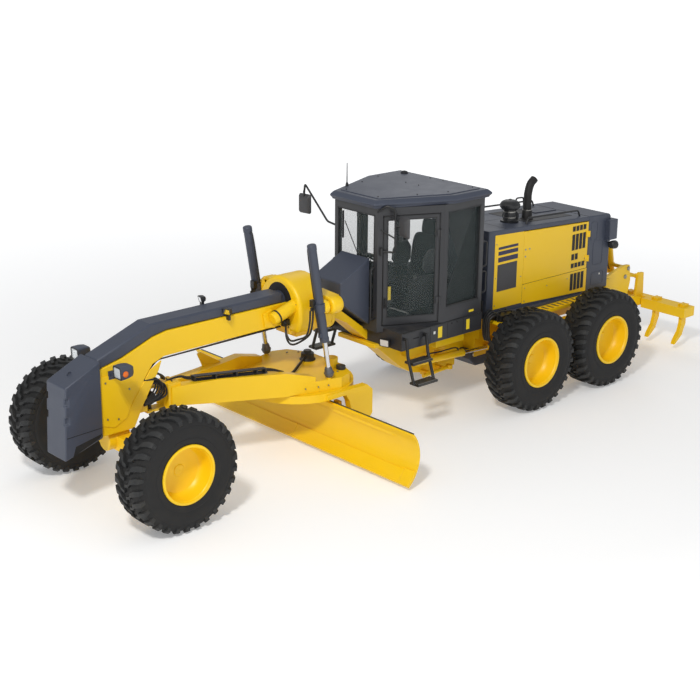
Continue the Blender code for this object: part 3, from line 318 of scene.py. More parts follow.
def skin(rings, closed_ends=True, wrap=True, loop=False):
    """Faces between rings of points; each ring has the same count."""
    shell = bmesh.new()
    made = [[shell.verts.new(point) for point in ring] for ring in rings]
    count = len(made[0])
    pairs = list(zip(made, made[1:])) + ([(made[-1], made[0])] if loop else [])
    for first, second in pairs:
        for here in range(count if wrap else count - 1):
            there = (here + 1) % count
            shell.faces.new((first[here], first[there], second[there], second[here]))
    if closed_ends and wrap and not loop:
        shell.faces.new(made[0])
        shell.faces.new(made[-1])
    bmesh.ops.recalc_face_normals(shell, faces=shell.faces)
    return shell


def across(direction):
    """Two unit vectors square to a direction."""
    direction = Vector(direction).normalized()
    helper = Vector((0, 0, 1)) if abs(direction.z) < 0.9 else Vector((1, 0, 0))
    first = direction.cross(helper).normalized()
    return first, direction.cross(first)


def turned(profile, centre, axis, sides=48, closed=False):
    """A turned shape from (along, radius) pairs. Ends with radius 0 close on the axis."""
    axis, centre = Vector(axis).normalized(), Vector(centre)
    first, second = across(axis)
    rings = []
    for along, radius in profile:
        radius = max(radius, 1e-5)
        rings.append([centre + axis * along + (first * cos(2 * pi * k / sides) + second
            * sin(2 * pi * k / sides)) * radius for k in range(sides)])
    return skin(rings, closed_ends=not closed, loop=closed)


def bar(start, end, radius, sides=24, end_radius=None):
    start, end = Vector(start), Vector(end)
    last = radius if end_radius is None else end_radius
    return turned([(0, radius), ((end - start).length, last)], start, end - start, sides)


def smooth_path(points, per_span=8):
    """A soft curve through the points (Catmull-Rom)."""
    points = [Vector(point) for point in points]
    padded = [points[0] * 2 - points[1], *points, points[-1] * 2 - points[-2]]
    path = []
    for a, b, c, d in zip(padded, padded[1:], padded[2:], padded[3:]):
        for step in range(per_span):
            t = step / per_span
            path.append(0.5 * ((2 * b) + (c - a) * t + (2 * a - 5 * b + 4 * c - d) * t * t
                + (3 * b - a - 3 * c + d) * t ** 3))
    path.append(points[-1])
    return path


def tube(points, radius, sides=10, smooth=True, per_span=8):
    path = smooth_path(points, per_span) if smooth else [Vector(point) for point in points]
    rings, side = [], None
    for place, point in enumerate(path):
        ahead = path[min(place + 1, len(path) - 1)] - path[max(place - 1, 0)]
        ahead.normalize()
        if side is None:
            side = across(ahead)[0]
        side = (side - ahead * side.dot(ahead)).normalized()
        third = ahead.cross(side)
        rings.append([point + (side * cos(2 * pi * k / sides) + third * sin(2 * pi * k / sides)) * radius
            for k in range(sides)])
    return skin(rings)


def bent_bar(points, radius, bend=0.04, sides=12):
    """A tube with straight runs and rounded corners, as a pipe bender makes it."""
    points = [Vector(point) for point in points]
    path = [points[0]]
    for before, corner, after in zip(points, points[1:], points[2:]):
        arrive, leave = (before - corner), (after - corner)
        cut = min(bend, arrive.length * 0.45, leave.length * 0.45)
        start, end = corner + arrive.normalized() * cut, corner + leave.normalized() * cut
        for step in range(6):
            t = step / 5
            path.append(start.lerp(corner, t).lerp(corner.lerp(end, t), t))
    path.append(points[-1])
    return tube(path, radius, sides, smooth=False)


def bolt_head(place, direction, size=0.018, height=None):
    """A hexagonal head on a washer."""
    direction = Vector(direction).normalized()
    height = height or size * 0.6
    place = Vector(place)
    washer = turned([(0, size * 0.72), (size * 0.14, size * 0.72)], place, direction, 16)
    head = turned([(0, size * 0.56), (height * 0.85, size * 0.56), (height, size * 0.48)],
        place + direction * size * 0.13, direction, 6)
    return [washer, head]


def flipped(shell):
    """The same shape on the other side of the machine."""
    other = shell.copy()
    bmesh.ops.scale(other, vec=(1, -1, 1), verts=other.verts)
    bmesh.ops.reverse_faces(other, faces=other.faces)
    return other


def on_side(shells, side):
    return shells if side > 0 else [flipped(shell) for shell in shells]


def both_sides(shells):
    return [*shells, *(flipped(shell) for shell in shells)]


print("shape helpers ready")

# %% [markdown]
# Each piece is one mesh object, joined from several closed shells, because the real piece is welded or
# bolted from several parts that never move apart. A bevel modifier rounds its sharp edges, and smooth
# shading stops at the same angle, so flat plates stay flat.

# %% Joining shapes into pieces
SHARP = radians(32)
SLOT_OF = {YELLOW: "yellow_paint", SLATE: "grey_paint", CHARCOAL: "grey_paint", TREAD: "rubber",
    SIDEWALL: "rubber", CHROME: "chrome_rod"}
made_pieces = []


def build(name, body, material, shells, bevel=0.003, segments=2, slot=None, stands_for=()):
    whole = bmesh.new()
    for shell in shells:
        loose = bpy.data.meshes.new("loose")
        shell.to_mesh(loose)
        shell.free()
        whole.from_mesh(loose)
        bpy.data.meshes.remove(loose)
    mesh = bpy.data.meshes.new(name)
    whole.to_mesh(mesh)
    whole.free()
    return settle(name, body, material, mesh, bevel, segments, slot, stands_for)


def settle(name, body, material, mesh, bevel, segments=2, slot=None, stands_for=()):
    piece = bpy.data.objects.new(name, mesh)
    bpy.context.scene.collection.objects.link(piece)
    mesh.materials.clear()
    mesh.materials.append(material)
    if bevel:
        rounding = piece.modifiers.new("rounded edges", "BEVEL")
        rounding.width, rounding.segments = bevel, segments
        rounding.limit_method, rounding.angle_limit = "ANGLE", SHARP
        rounding.use_clamp_overlap = True
        rounding.harden_normals = False
    mesh.shade_smooth()
    mesh.set_sharp_from_angle(angle=SHARP)
    if body:
        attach(piece, body)
    slot or SLOT_OF.get(material, "dark_steel")
    if stands_for:
        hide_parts(*stands_for)
    made_pieces.append(piece)
    return piece


def body_of(node):
    return next(name for name, members in frame["record"]["behaviour"]["bodies"].items() if node in members)


def dressed(node, name, material, bevel=0.006, segments=2):
    """A rounded copy of a solid, which stands for it."""
    copy = bmesh.new()
    copy.from_mesh(nodes[node].data)
    bmesh.ops.remove_doubles(copy, verts=copy.verts, dist=2e-5)
    bmesh.ops.dissolve_limit(copy, angle_limit=radians(0.6), verts=copy.verts, edges=copy.edges)
    mesh = bpy.data.meshes.new(name)
    copy.to_mesh(mesh)
    copy.free()
    return settle(name, body_of(node), material, mesh, bevel, segments, stands_for=(node,))


tyre_low, tyre_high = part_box("tyre_front_left")
AXLE_X = (tyre_low.x + tyre_high.x) / 2
SIDES = (("left", 1), ("right", -1))


def back(distance):
    """The X of a station that lies this far behind the front axle."""
    return AXLE_X - distance


print("front axle at x =", round(AXLE_X, 3))

# %% [markdown]
# A grader tyre is a deep block tread on a plain black casing. Each half of the tread is a row of
# lugs that sweep from the middle to the shoulder and wrap over it; the two halves are half a step
# apart. A lug is a short loft of five sections, narrower on top than at its foot, so it needs no
# bevel. The casing is one turned profile, with the bead, two rings and a crowned shoulder, and the
# rim is another: a plain deep dish, with a valve stem.

# %% Wheels
TYRE_RADIUS = (tyre_high.z - tyre_low.z) / 2 - 0.0005
LUG_DEPTH = 0.030
LUGS = 30
CASING = [(0.196, 0.346), (0.216, 0.352), (0.224, 0.375), (0.228, 0.40), (0.2285, 0.425), (0.2245, 0.430),
    (0.2305, 0.47), (0.2315, 0.52), (0.2300, 0.565), (0.2255, 0.572), (0.2255, 0.580), (0.222, 0.61),
    (0.206, 0.652)]


def tyre_casing(centre, side):
    tread_floor = TYRE_RADIUS - LUG_DEPTH
    half = CASING + [(0.17, tread_floor - 0.004), (0.09, tread_floor)]
    profile = half + [(0.0, tread_floor + 0.001)] + [(-along, radius) for along, radius in reversed(half)]
    return turned(profile, centre, (0, side, 0), 96, closed=True)


def lug(centre, start_angle, hand, sweep):
    """One lug: sections from near the middle of the tread, over the shoulder and down the side."""
    #           across, top radius drop, half width, turn, foot radius drop
    stations = [(0.006, 0.000, 0.017, 0.00, 0.034), (0.070, 0.000, 0.020, 0.16, 0.034),
        (0.100, 0.001, 0.028, 0.62, 0.034), (0.180, 0.004, 0.033, 0.90, 0.040), (0.2295, 0.034, 0.030, 1.00,
        0.065), (0.2315, 0.085, 0.024, 1.02, 0.110)]
    rings = []
    for reach, drop, half_width, turn, foot in stations:
        top, low = TYRE_RADIUS - drop, TYRE_RADIUS - foot
        inward = 0.0 if reach < 0.2 else 0.020
        ring = []
        for edge, radius, along in ((-1.25, low, reach - inward), (-1.0, top, reach), (1.0, top, reach),
                (1.25, low, reach - inward)):
            angle = start_angle + sweep * turn + edge * half_width / TYRE_RADIUS
            ring.append(centre + Vector((cos(angle) * radius, hand * along, sin(angle) * radius)))
        rings.append(ring)
    return skin(rings)


def tread(centre):
    lugs = []
    step = 2 * pi / LUGS
    for hand, shift in ((1, 0.0), (-1, 0.5)):
        for number in range(LUGS):
            lugs.append(lug(centre, (number + shift) * step, hand, 0.16))
    return lugs


def rim(centre, side):
    outward = Vector((0, side, 0))
    profile = [(-0.030, 0.0), (0.044, 0.0), (0.040, 0.060), (0.030, 0.070), (0.026, 0.150), (0.030, 0.225),
        (0.038, 0.262), (0.062, 0.284), (0.110, 0.300), (0.205, 0.309), (0.214, 0.316), (0.2345, 0.321),
        (0.2352, 0.334), (0.233, 0.348), (0.222, 0.352), (0.213, 0.347), (-0.20, 0.344), (-0.229, 0.350),
        (-0.229, 0.330), (-0.18, 0.318), (0.00, 0.292), (-0.02, 0.250), (-0.030, 0.110)]
    shells = [turned(profile, centre, outward, 96)]
    valve = centre + Vector((0.27, side * 0.07, 0))
    shells.append(bar(valve, valve + Vector((-0.02, side * 0.06, 0)), 0.006, 10))
    return shells


for where in ("front", "tandem_front", "tandem_rear"):
    for label, side in SIDES:
        wheel_body = f"wheel_{where}_{label}"
        low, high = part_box(f"tyre_{where}_{label}")
        centre = (low + high) / 2
        build(f"casing_{where}_{label}", wheel_body, SIDEWALL, [tyre_casing(centre, side)], bevel=0,
            stands_for=(f"tyre_{where}_{label}",))
        build(f"tread_{where}_{label}", wheel_body, TREAD, tread(centre), bevel=0)
        build(f"dished_rim_{where}_{label}", wheel_body, YELLOW, rim(centre, side), bevel=0,
            stands_for=(f"rim_{where}_{label}",))
print("six wheels,", len(made_pieces), "pieces")

# %% [markdown]
# The large weldments keep the shape of their solids and only get rounded plate edges, because a
# sharp edge catches no light. The bevel is a few millimetres on plate and wider on castings.

# %% Weldments and castings in yellow
YELLOW_WELDMENTS = {"front_frame": ("gooseneck_frame", 0.008), "front_axle": ("axle_casting", 0.010),
    "rear_frame": ("rear_chassis", 0.006), "tandem_left": ("tandem_case_left", 0.012),
    "tandem_right": ("tandem_case_right", 0.012), "knuckle_left": ("knuckle_casting_left", 0.006),
    "knuckle_right": ("knuckle_casting_right", 0.006), "drawbar": ("drawbar_weldment", 0.008),
    "circle": ("circle_weldment", 0.005), "blade_carrier": ("blade_bracket", 0.005),
    "ripper_bracket": ("ripper_mount", 0.006), "ripper_arms": ("ripper_lower_arms", 0.004),
    "ripper_link": ("ripper_upper_link", 0.004), "ripper_beam": ("ripper_crossbeam", 0.008),
    "hood_door_left": ("engine_door_left", 0.004), "hood_door_right": ("engine_door_right", 0.004),}
for node, (name, bevel) in YELLOW_WELDMENTS.items():
    dressed(node, name, YELLOW, bevel)
print(len(YELLOW_WELDMENTS), "yellow weldments")

# %% [markdown]
# The covers are pressed sheet or moulded plastic, so their corners are rounder than a weldment's.
# One table of names gives each slate cover its width of bevel; the cab and the black parts get one width
# each.

# %% Covers and housings in slate
SLATE_COVERS = {"beam_cover": ("beam_cowling", 0.022), "counterweight": ("push_block", 0.014),
    "cowl": ("dash_cowling", 0.014), "hood_shell": ("engine_hood", 0.010),
    "radiator_housing": ("radiator_surround", 0.014),}
for node, (name, bevel) in SLATE_COVERS.items():
    dressed(node, name, SLATE, bevel)
for node, name in (("cab_shell", "cab_house"), ("cab_door_left", "door_frame_left"),
        ("cab_door_right", "door_frame_right")):
    dressed(node, name, CHARCOAL, 0.006)
for node, name in (("engine_block", "engine_and_gearbox"), ("tie_rod", "steering_tie_bar"),
        ("drawbar_ball", "drawbar_pivot_ball"), ("ladder_left", "cab_steps_left"),
        ("ladder_right", "cab_steps_right")):
    dressed(node, name, BLACK, 0.004)
print(len(SLATE_COVERS), "slate covers")

# %% [markdown]
# Tinted glass is a thin slab, so it is drawn with a low alpha over a dark colour: light passes
# straight through, as it does through a flat pane. Lenses and mirrors are small and need no more
# than a smooth coloured or metallic surface.

# %% Glass and lens materials
def clear_glass(name, colour, roughness=0.02, alpha=1.0):
    material = bpy.data.materials.new(name)
    material.use_nodes = True
    shader = material.node_tree.nodes["Principled BSDF"]
    shader.inputs["Base Color"].default_value = (*colour, 1)
    shader.inputs["Roughness"].default_value = roughness
    shader.inputs["Metallic"].default_value = 0.0
    shader.inputs["Transmission Weight"].default_value = 1.0 if alpha == 1.0 else 0.0
    shader.inputs["Alpha"].default_value = alpha
    shader.inputs["IOR"].default_value = 1.45
    return material


PANE = clear_glass("tinted_pane", (0.10, 0.13, 0.13), alpha=0.13)
LENS = clear_glass("lamp_lens", (0.90, 0.94, 0.96), alpha=0.35)
AMBER = finish("amber_lens", (0.80, 0.16, 0.01), 0.18, dust=0.0, drift=0.1, bump=0.0002)
RED = finish("red_lens", (0.45, 0.010, 0.008), 0.18, dust=0.0, drift=0.1, bump=0.0002)
MIRROR = finish("mirror_glass", (0.80, 0.84, 0.86), 0.04, metallic=1.0, dust=0.0, drift=0.0, bump=0.0)
print("glass ready")

# %% [markdown]
# Each headlamp is a rounded pot on a bent stalk, with a black rim, a bright bowl, a clear lens and
# an amber marker on its outer cheek. All of them are lofts of one rounded rectangle, which is
# scaled and moved along the direction in which the lamp looks.

# %% Headlamps
def rounded_rect(half_wide, half_high, corner, steps=5):
    outline = []
    for quarter, (sx, sy) in enumerate(((1, 1), (-1, 1), (-1, -1), (1, -1))):
        for step in range(steps + 1):
            angle = pi / 2 * (quarter + step / steps)
            outline.append((sx * (half_wide - corner) + corner * cos(angle),
                sy * (half_high - corner) + corner * sin(angle)))
    return outline


def ring_at(place, forward, outline, scale=1.0, shift=0.0, lift=0.0):
    """A rounded rectangle of points, square to forward, around place."""
    forward = Vector(forward).normalized()
    sideways = Vector((0, 0, 1)).cross(forward).normalized()
    upward = forward.cross(sideways)
    middle = Vector(place) + forward * shift + upward * lift
    return [middle + sideways * (a * scale) + upward * (b * scale) for a, b in outline]


def lofted(place, forward, outline, steps, closed_ends=True):
    """A skin through scaled copies of the outline; each step is a (shift, scale) pair."""
    return skin([ring_at(place, forward, outline, scale, shift) for shift, scale in steps], closed_ends)


for label, side in SIDES:
    low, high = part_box(f"headlight_{label}")
    face = Vector((high.x - 0.012, side * 0.44, (low.z + high.z) / 2 + 0.01))
    forward = Vector((1, 0, -0.06))
    outline = rounded_rect(0.080, 0.078, 0.022)
    pot = lofted(face, forward, outline, ((-0.19, 0.35), (-0.185, 0.55), (-0.16, 0.82), (-0.10, 0.97),
        (-0.03, 1.0), (-0.002, 1.0), (0.0, 0.97), (0.0, 0.82), (-0.02, 0.78)))
    stalk_foot = Vector((face.x - 0.11, side * 0.155, 1.58))
    stalk = bent_bar([stalk_foot, (face.x - 0.11, side * 0.26, 1.58), (face.x - 0.11, side * 0.36, 1.68),
        (face.x - 0.11, side * 0.40, 1.70)], 0.020)
    foot_plate = box_between((face.x - 0.16, side * 0.151, 1.53), (face.x - 0.06, side * 0.165, 1.63))
    build(f"headlamp_pot_{label}", "front_frame", SLATE, [pot, stalk, foot_plate], bevel=0,
        slot="dark_steel", stands_for=(f"headlight_{label}",))
    bowl = lofted(face, forward, outline, ((-0.004, 0.80), (-0.03, 0.66), (-0.055, 0.40), (-0.062, 0.08)))
    build(f"headlamp_bowl_{label}", "front_frame", REFLECTOR, [bowl], bevel=0)
    rim_ring = lofted(face, forward, outline, ((0.0, 0.98), (0.006, 0.94), (0.006, 0.80), (-0.002, 0.78)),
        closed_ends=False)
    build(f"headlamp_rim_{label}", "front_frame", PLASTIC, [rim_ring], bevel=0)
    build(f"headlamp_lens_{label}", "front_frame", LENS,
        [lofted(face, forward, outline, ((-0.003, 0.80), (0.002, 0.78), (0.004, 0.60),
        (0.005, 0.02)))], bevel=0)
    cheek = face + Vector((-0.055, side * 0.078, -0.005))
    build(f"headlamp_marker_{label}", "front_frame", AMBER,
        [turned([(-0.004, 0.034), (0.010, 0.034), (0.017, 0.026), (0.019, 0.0)], cheek, (0, side, 0),
        32)], bevel=0)
print("headlamps ready")

# %% [markdown]
# The nose carries the push block, with its seam and pockets, a folded side plate with four bolts on
# each side, and a lifting eye on top. The pockets are not cut in: they are flat dark slabs of painted shade.

# %% Nose plate, eyes and bolts
FRAME_SIDE = 0.15
nose_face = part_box("counterweight")[0].x
shapes, bolts = [], []
plate = [(nose_face - 0.004, 1.58), (nose_face - 0.004, 1.00), (AXLE_X + 0.16, 0.94), (AXLE_X - 0.02, 1.02),
    (AXLE_X - 0.18, 1.42), (AXLE_X + 0.02, 1.56)]
shapes.append(slab(plate, "y", FRAME_SIDE - 0.002, FRAME_SIDE + 0.012))
shapes.append(slab([(back(0.05), 1.10), (back(0.36), 1.52), (back(0.52), 1.60), (back(0.48), 1.50),
    (back(0.22), 1.08)], "y", FRAME_SIDE - 0.01, FRAME_SIDE + 0.008))
for x, z in ((nose_face - 0.08, 1.50), (nose_face - 0.09, 1.06), (AXLE_X - 0.06, 1.36),
        (AXLE_X + 0.10, 1.03)):
    bolts += bolt_head((x, FRAME_SIDE + 0.012, z), (0, 1, 0), 0.017)
build("nose_side_plates", "front_frame", YELLOW, both_sides(shapes), bevel=0.003)
build("nose_plate_bolts", "front_frame", ZINC, both_sides(bolts), bevel=0)
block_low, block_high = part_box("counterweight")
seam = [(block_low.x + 0.004, 1.002), (block_high.x - 0.030, 0.985), (block_high.x - 0.030, 0.978),
    (block_low.x + 0.004, 0.995)]
build("push_block_seam", "front_frame", SEAM_BLACK_AND_PAINTED_SHADE,
    both_sides([slab(seam, "y", block_high.y - 0.002, block_high.y + 0.0015)]), bevel=0)
# The pockets are one flat dark slab on each side, painted shade standing for a recess.
lip = [(block_low.x + 0.01, 0.93), (block_high.x - 0.14, 0.86), (block_high.x - 0.10, 0.745),
    (block_low.x + 0.05, 0.88)]
build("push_block_pocket_shade", "front_frame", SEAM_BLACK_AND_PAINTED_SHADE,
    both_sides([slab(lip, "y", block_high.y - 0.003, block_high.y + 0.001)]), bevel=0.001)
build("lifting_eye", "front_frame", SLATE, [turned([(-0.010, 0.030), (0.010, 0.030), (0.010, 0.016),
    (-0.010, 0.016)], (block_high.x - 0.22, 0, 1.655), (0, 1, 0), 32, closed=True)], bevel=0.002)
print("nose ready")

# %% [markdown]
# The blade is a long plate rolled to an arc, so that soil climbs it and falls forward. The same arc,
# shifted in or out, draws the cutting edge in front, the head strip, and the rows of nuts behind.
# It stands for the plain blade and is drawn with three times as many steps.

# %% Blade
BLADE_EDGE, BLADE_HEAD = Vector((back(2.60), 0, 0.06)), Vector((back(2.68), 0, 0.69))
BLADE_BULGE, BLADE_PLATE = 0.13, 0.022
BLADE_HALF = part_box("moldboard")[1].y


def blade_arc(offset, start=0.0, stop=1.0, steps=24):
    """Points (x, z) up the blade, from share start to share stop, moved back by offset."""
    chord = BLADE_HEAD - BLADE_EDGE
    radius = (chord.length ** 2 / 4 + BLADE_BULGE ** 2) / (2 * BLADE_BULGE)
    forward = Vector((chord.z, 0, -chord.x)) / chord.length
    centre = (BLADE_EDGE + BLADE_HEAD) / 2 + forward * (radius - BLADE_BULGE)
    ends = [atan2(point.z - centre.z, point.x - centre.x) % (2 * pi) for point in (BLADE_EDGE, BLADE_HEAD)]
    angles = [ends[0] + (ends[1] - ends[0]) * (start + (stop - start) * step / steps)
        for step in range(steps + 1)]
    return [(centre.x + (radius + offset) * cos(angle), centre.z + (radius + offset) * sin(angle))
        for angle in angles]


def blade_layer(near, far, start, stop, low, high, steps=24):
    return slab(blade_arc(near, start, stop, steps) + blade_arc(far, start, stop, steps)[::-1],
        "y", low, high)


plates = [blade_layer(0.0, BLADE_PLATE, 0.0, 1.0, -BLADE_HALF, BLADE_HALF),
          blade_layer(-0.006, 0.001, 0.90, 1.0, -BLADE_HALF, BLADE_HALF, 4)]
for low, reach in ((0.22, 2.745), (0.56, 2.735)):
    plates.append(box_between((back(2.885), -1.75, low), (back(reach), 1.75, low + 0.045)))
for y in (-1.95, -1.2, 1.2, 1.95):
    rib = blade_arc(BLADE_PLATE - 0.002, 0.12, 0.86, 8) + [(back(2.80), 0.60), (back(2.82), 0.40),
        (back(2.80), 0.20)]
    plates.append(slab(rib, "y", y - 0.008, y + 0.008))
build("blade_plate", "moldboard", YELLOW, plates, bevel=0.003, stands_for=("moldboard",))
edges = []
for low, high in ((-BLADE_HALF + 0.18, -0.002), (0.002, BLADE_HALF - 0.18)):
    edges.append(blade_layer(-0.014, -0.0005, 0.0, 0.27, low, high, 8))
for side in (1, -1):
    edges.append(blade_layer(-0.016, -0.0005, 0.0, 0.30, side * (BLADE_HALF - 0.176), side * BLADE_HALF, 8))
build("blade_cutting_edges", "moldboard", YELLOW, edges, bevel=0.002)
build("blade_slide_bar", "moldboard", BLACK,
    [box_between((back(2.745), -2.10, 0.655), (back(2.705), 2.10, 0.695))], bevel=0.003)
NUTS, NUT_REACH = 28, 2.08
nuts = []
for share in (0.09, 0.20):
    x, z = blade_arc(BLADE_PLATE, share, share, 1)[0]
    inner_x, inner_z = blade_arc(0.0, share, share, 1)[0]
    for number in range(NUTS):
        y = -NUT_REACH + number * 2 * NUT_REACH / (NUTS - 1)
        nuts += bolt_head((x, y, z), (x - inner_x, 0, z - inner_z), 0.016)
build("blade_nuts", "moldboard", ZINC, nuts, bevel=0)
print("blade: edge at z =", round(blade_arc(0.0)[0][1], 3))

# %% [markdown]
# This cylinder slides the blade sideways. Its barrel stays on the carrier and its rod moves with the
# blade, so they are two pieces, and the barrel is bored along its length for the rod.

# %% Side-shift cylinder of the blade
SHIFT_LINE = Vector((back(2.838), 0, 0.415))
barrel = [(0.0, 0.0), (0.0, 0.036), (0.02, 0.038), (1.25, 0.038), (1.255, 0.043), (1.295, 0.043),
    (1.30, 0.024), (0.10, 0.024), (0.10, 0.0)]
clamps = [box_between((back(2.884), side * 0.505, 0.36), (back(2.80), side * 0.595, 0.47))
    for side in (1, -1)]
build("blade_shift_barrel", "blade_carrier", YELLOW, [turned(barrel, SHIFT_LINE + Vector((0, -0.62, 0)),
    (0, 1, 0), 32), *clamps], bevel=0.003)
build("blade_shift_rod", "moldboard", CHROME, [turned([(0, 0.0), (0, 0.019), (1.34, 0.019), (1.34, 0.0)],
    SHIFT_LINE + Vector((0, 0.10, 0)), (0, 1, 0), 28)], bevel=0)
eye = [box_between((SHIFT_LINE.x - 0.03, y, 0.36), (back(2.78), y + 0.018, 0.47)) for y in (1.43, 1.475)]
build("blade_shift_eye", "moldboard", YELLOW,
    eye + [bar(SHIFT_LINE + Vector((0, 1.42, 0)), SHIFT_LINE + Vector((0, 1.50, 0)), 0.026)], bevel=0.002)
print("side-shift cylinder ready")

# %% [markdown]
# The saddle is a casting that wraps the beam like a hoop. Its outline is an arc on straight cheeks,
# and a wide bevel gives the soft shoulder of a sand casting. Each arm ends in a drum with a bolted
# cap, and the lift cylinder hangs in front of it in a yoke.

# %% Saddle
SADDLE_FRONT, SADDLE_REAR, ARM_FRONT = back(2.42), back(2.86), back(2.68)
HOOP_RADIUS, HOOP_HEIGHT, HOOP_STEPS = 0.40, 1.84, 20
DRUM_Y, DRUM_Z = 0.62, 1.95
hoop = []
for step in range(HOOP_STEPS + 1):
    angle = pi * step / HOOP_STEPS
    hoop.append((HOOP_RADIUS * cos(angle), HOOP_HEIGHT + HOOP_RADIUS * sin(angle)))
hoop += [(-HOOP_RADIUS, 1.72), (-0.33, 1.565), (0.33, 1.565), (HOOP_RADIUS, 1.72)]
build("saddle_hoop", "front_frame", YELLOW, [slab(hoop, "x", SADDLE_REAR, SADDLE_FRONT)], bevel=0.045,
    segments=5, stands_for=("saddle",))
arms, caps = [], []
arm_outline = [(0.30, 1.83), (0.30, 2.08), (0.62, 2.06), (0.62, 1.84)]
arms.append(slab(arm_outline, "x", SADDLE_REAR, ARM_FRONT))
drum = [(0.0, 0.0), (0.0, 0.085), (0.010, 0.100), (0.030, 0.110), (0.150, 0.110), (0.170, 0.100),
    (0.180, 0.085), (0.180, 0.0)]
arms.append(turned(drum, (SADDLE_REAR, DRUM_Y, DRUM_Z), (1, 0, 0), 40))
arms.append(turned([(0, 0.0), (0, 0.115), (0.035, 0.115), (0.05, 0.10), (0.05, 0.0)],
    (SADDLE_REAR + 0.06, 0.40, 1.72), (0, 1, 0), 32))
build("saddle_arms", "front_frame", YELLOW, both_sides(arms), bevel=0.008)
base = [box_between((SADDLE_REAR + 0.10, -0.20, 1.475), (SADDLE_FRONT - 0.10, 0.20, 1.57))]
base.append(slab([(SADDLE_REAR + 0.03, 1.50), (SADDLE_REAR - 0.10, 1.60), (SADDLE_REAR - 0.10, 1.64),
    (SADDLE_FRONT, 1.64), (SADDLE_FRONT, 1.53)], "y", 0.152, 0.19))
build("saddle_foot", "front_frame", YELLOW, base, bevel=0.008)
CAP_BOLTS, CAP_CIRCLE, FACE_CIRCLE = 8, 0.078, 0.335
for number in range(CAP_BOLTS):
    angle = 2 * pi * number / CAP_BOLTS + 0.2
    spot = (SADDLE_REAR + 0.002, DRUM_Y + CAP_CIRCLE * cos(angle), DRUM_Z + CAP_CIRCLE * sin(angle))
    caps += bolt_head(spot, (-1, 0, 0), 0.012)
for number in range(9):
    angle = pi * (0.10 + 0.10 * number)
    height = HOOP_HEIGHT + FACE_CIRCLE * sin(angle)
    if height < 1.98:
        caps += bolt_head((SADDLE_FRONT - 0.002, FACE_CIRCLE * cos(angle), height), (1, 0, 0), 0.014)
build("saddle_bolts", "front_frame", ZINC, both_sides(caps), bevel=0)
# A flat dark arch on the hoop's front face is painted shade for the gap round the end of the cowling.
MOUTH_STEPS = 16
gap = []
for step in range(MOUTH_STEPS + 1):
    angle = pi * step / MOUTH_STEPS
    gap.append((0.245 * cos(angle), 1.90 + 0.265 * sin(angle)))
mouth_shade_plug = slab(gap, "x", SADDLE_FRONT - 0.01, SADDLE_FRONT + 0.002)
build("saddle_mouth_painted_shade", "front_frame", SEAM_BLACK_AND_PAINTED_SHADE, [mouth_shade_plug], bevel=0)
#              station,    half width, foot, crown
TAIL_SECTIONS = ((back(2.34), 0.134, 1.945, 2.069), (back(2.42), 0.120, 1.945, 2.060),
    (back(2.47), 0.06, 1.945, 2.02))
tongue = []
for x, half, low, high in TAIL_SECTIONS:
    tongue.append([(x, half * cos(pi * k / 10), low + (high - low) * sin(pi * k / 10)) for k in range(11)])
build("cowling_tail", "front_frame", SLATE, [skin(tongue)], bevel=0)
print("saddle ready")

# %% [markdown]
# A short stout cylinder on the beam pushes the drawbar to one side. It is a turned profile held by
# two straps. The locking ring beside it is a turned ring left open at its middle.

# %% Centre-shift cylinder and its straps
shift_start, shift_end = Vector((back(2.10), 0.250, 1.80)), Vector((back(2.60), 0.250, 1.965))
shift_axis = (shift_end - shift_start).normalized()
body_profile = [(0, 0.0), (0, 0.066), (0.012, 0.078), (0.035, 0.081), (0.43, 0.081), (0.43, 0.0)]
mount_outline = [(back(2.05), 1.69), (back(2.02), 1.86), (back(2.16), 1.90), (back(2.24), 1.74),
    (back(2.20), 1.66)]
shells = [turned(body_profile, shift_start, shift_axis, 36), slab(mount_outline, "y", 0.150, 0.18)]
shells.append(box_between((back(2.14), 0.150, 1.74), (back(2.22), 0.235, 1.83)))
build("centre_shift_cylinder", "front_frame", YELLOW, shells, bevel=0.003)
straps = [turned([(along, 0.0815), (along, 0.088), (along + 0.022, 0.088), (along + 0.022, 0.0815)],
    shift_start, shift_axis, 36, closed=True) for along in (0.065, 0.40)]
straps.append(turned([(0, 0.0), (0, 0.038), (0.05, 0.040), (0.06, 0.028), (0.075, 0.028), (0.075, 0.0)],
    (back(2.37), 0.15, 1.70), (0, 1, 0.15), 28))
straps.append(box_between((back(2.42), 0.150, 1.65), (back(2.32), 0.20, 1.73)))
build("shift_straps_and_valve", "front_frame", BLACK, straps, bevel=0.002)
ring = turned([(-0.02, 0.095), (0.02, 0.095), (0.02, 0.052), (-0.02, 0.052)], (back(2.93), 0.33, 1.655),
    (0.25, 1, 0), 40, closed=True)
build("locking_ring", "front_frame", YELLOW,
    [ring, box_between((back(2.88), 0.15, 1.60), (back(2.80), 0.34, 1.70))], bevel=0.004)
print("centre-shift cylinder ready")

# %% [markdown]
# A lift cylinder is a long slate barrel with a screwed gland at the mouth and a cap on top, a steel
# line that carries oil to the far end, and a chromed rod that ends in a bolted ball socket. The
# barrel is really bored, so that the rod can slide out of it in any pose.

# %% Lift cylinders
TRUNNION, FOOT = Vector((back(2.55), DRUM_Y, DRUM_Z)), Vector((back(2.70), DRUM_Y, 1.07))
lift_line = (TRUNNION - FOOT).normalized()


def on_lift(height):
    return TRUNNION + lift_line * ((height - TRUNNION.z) / lift_line.z)


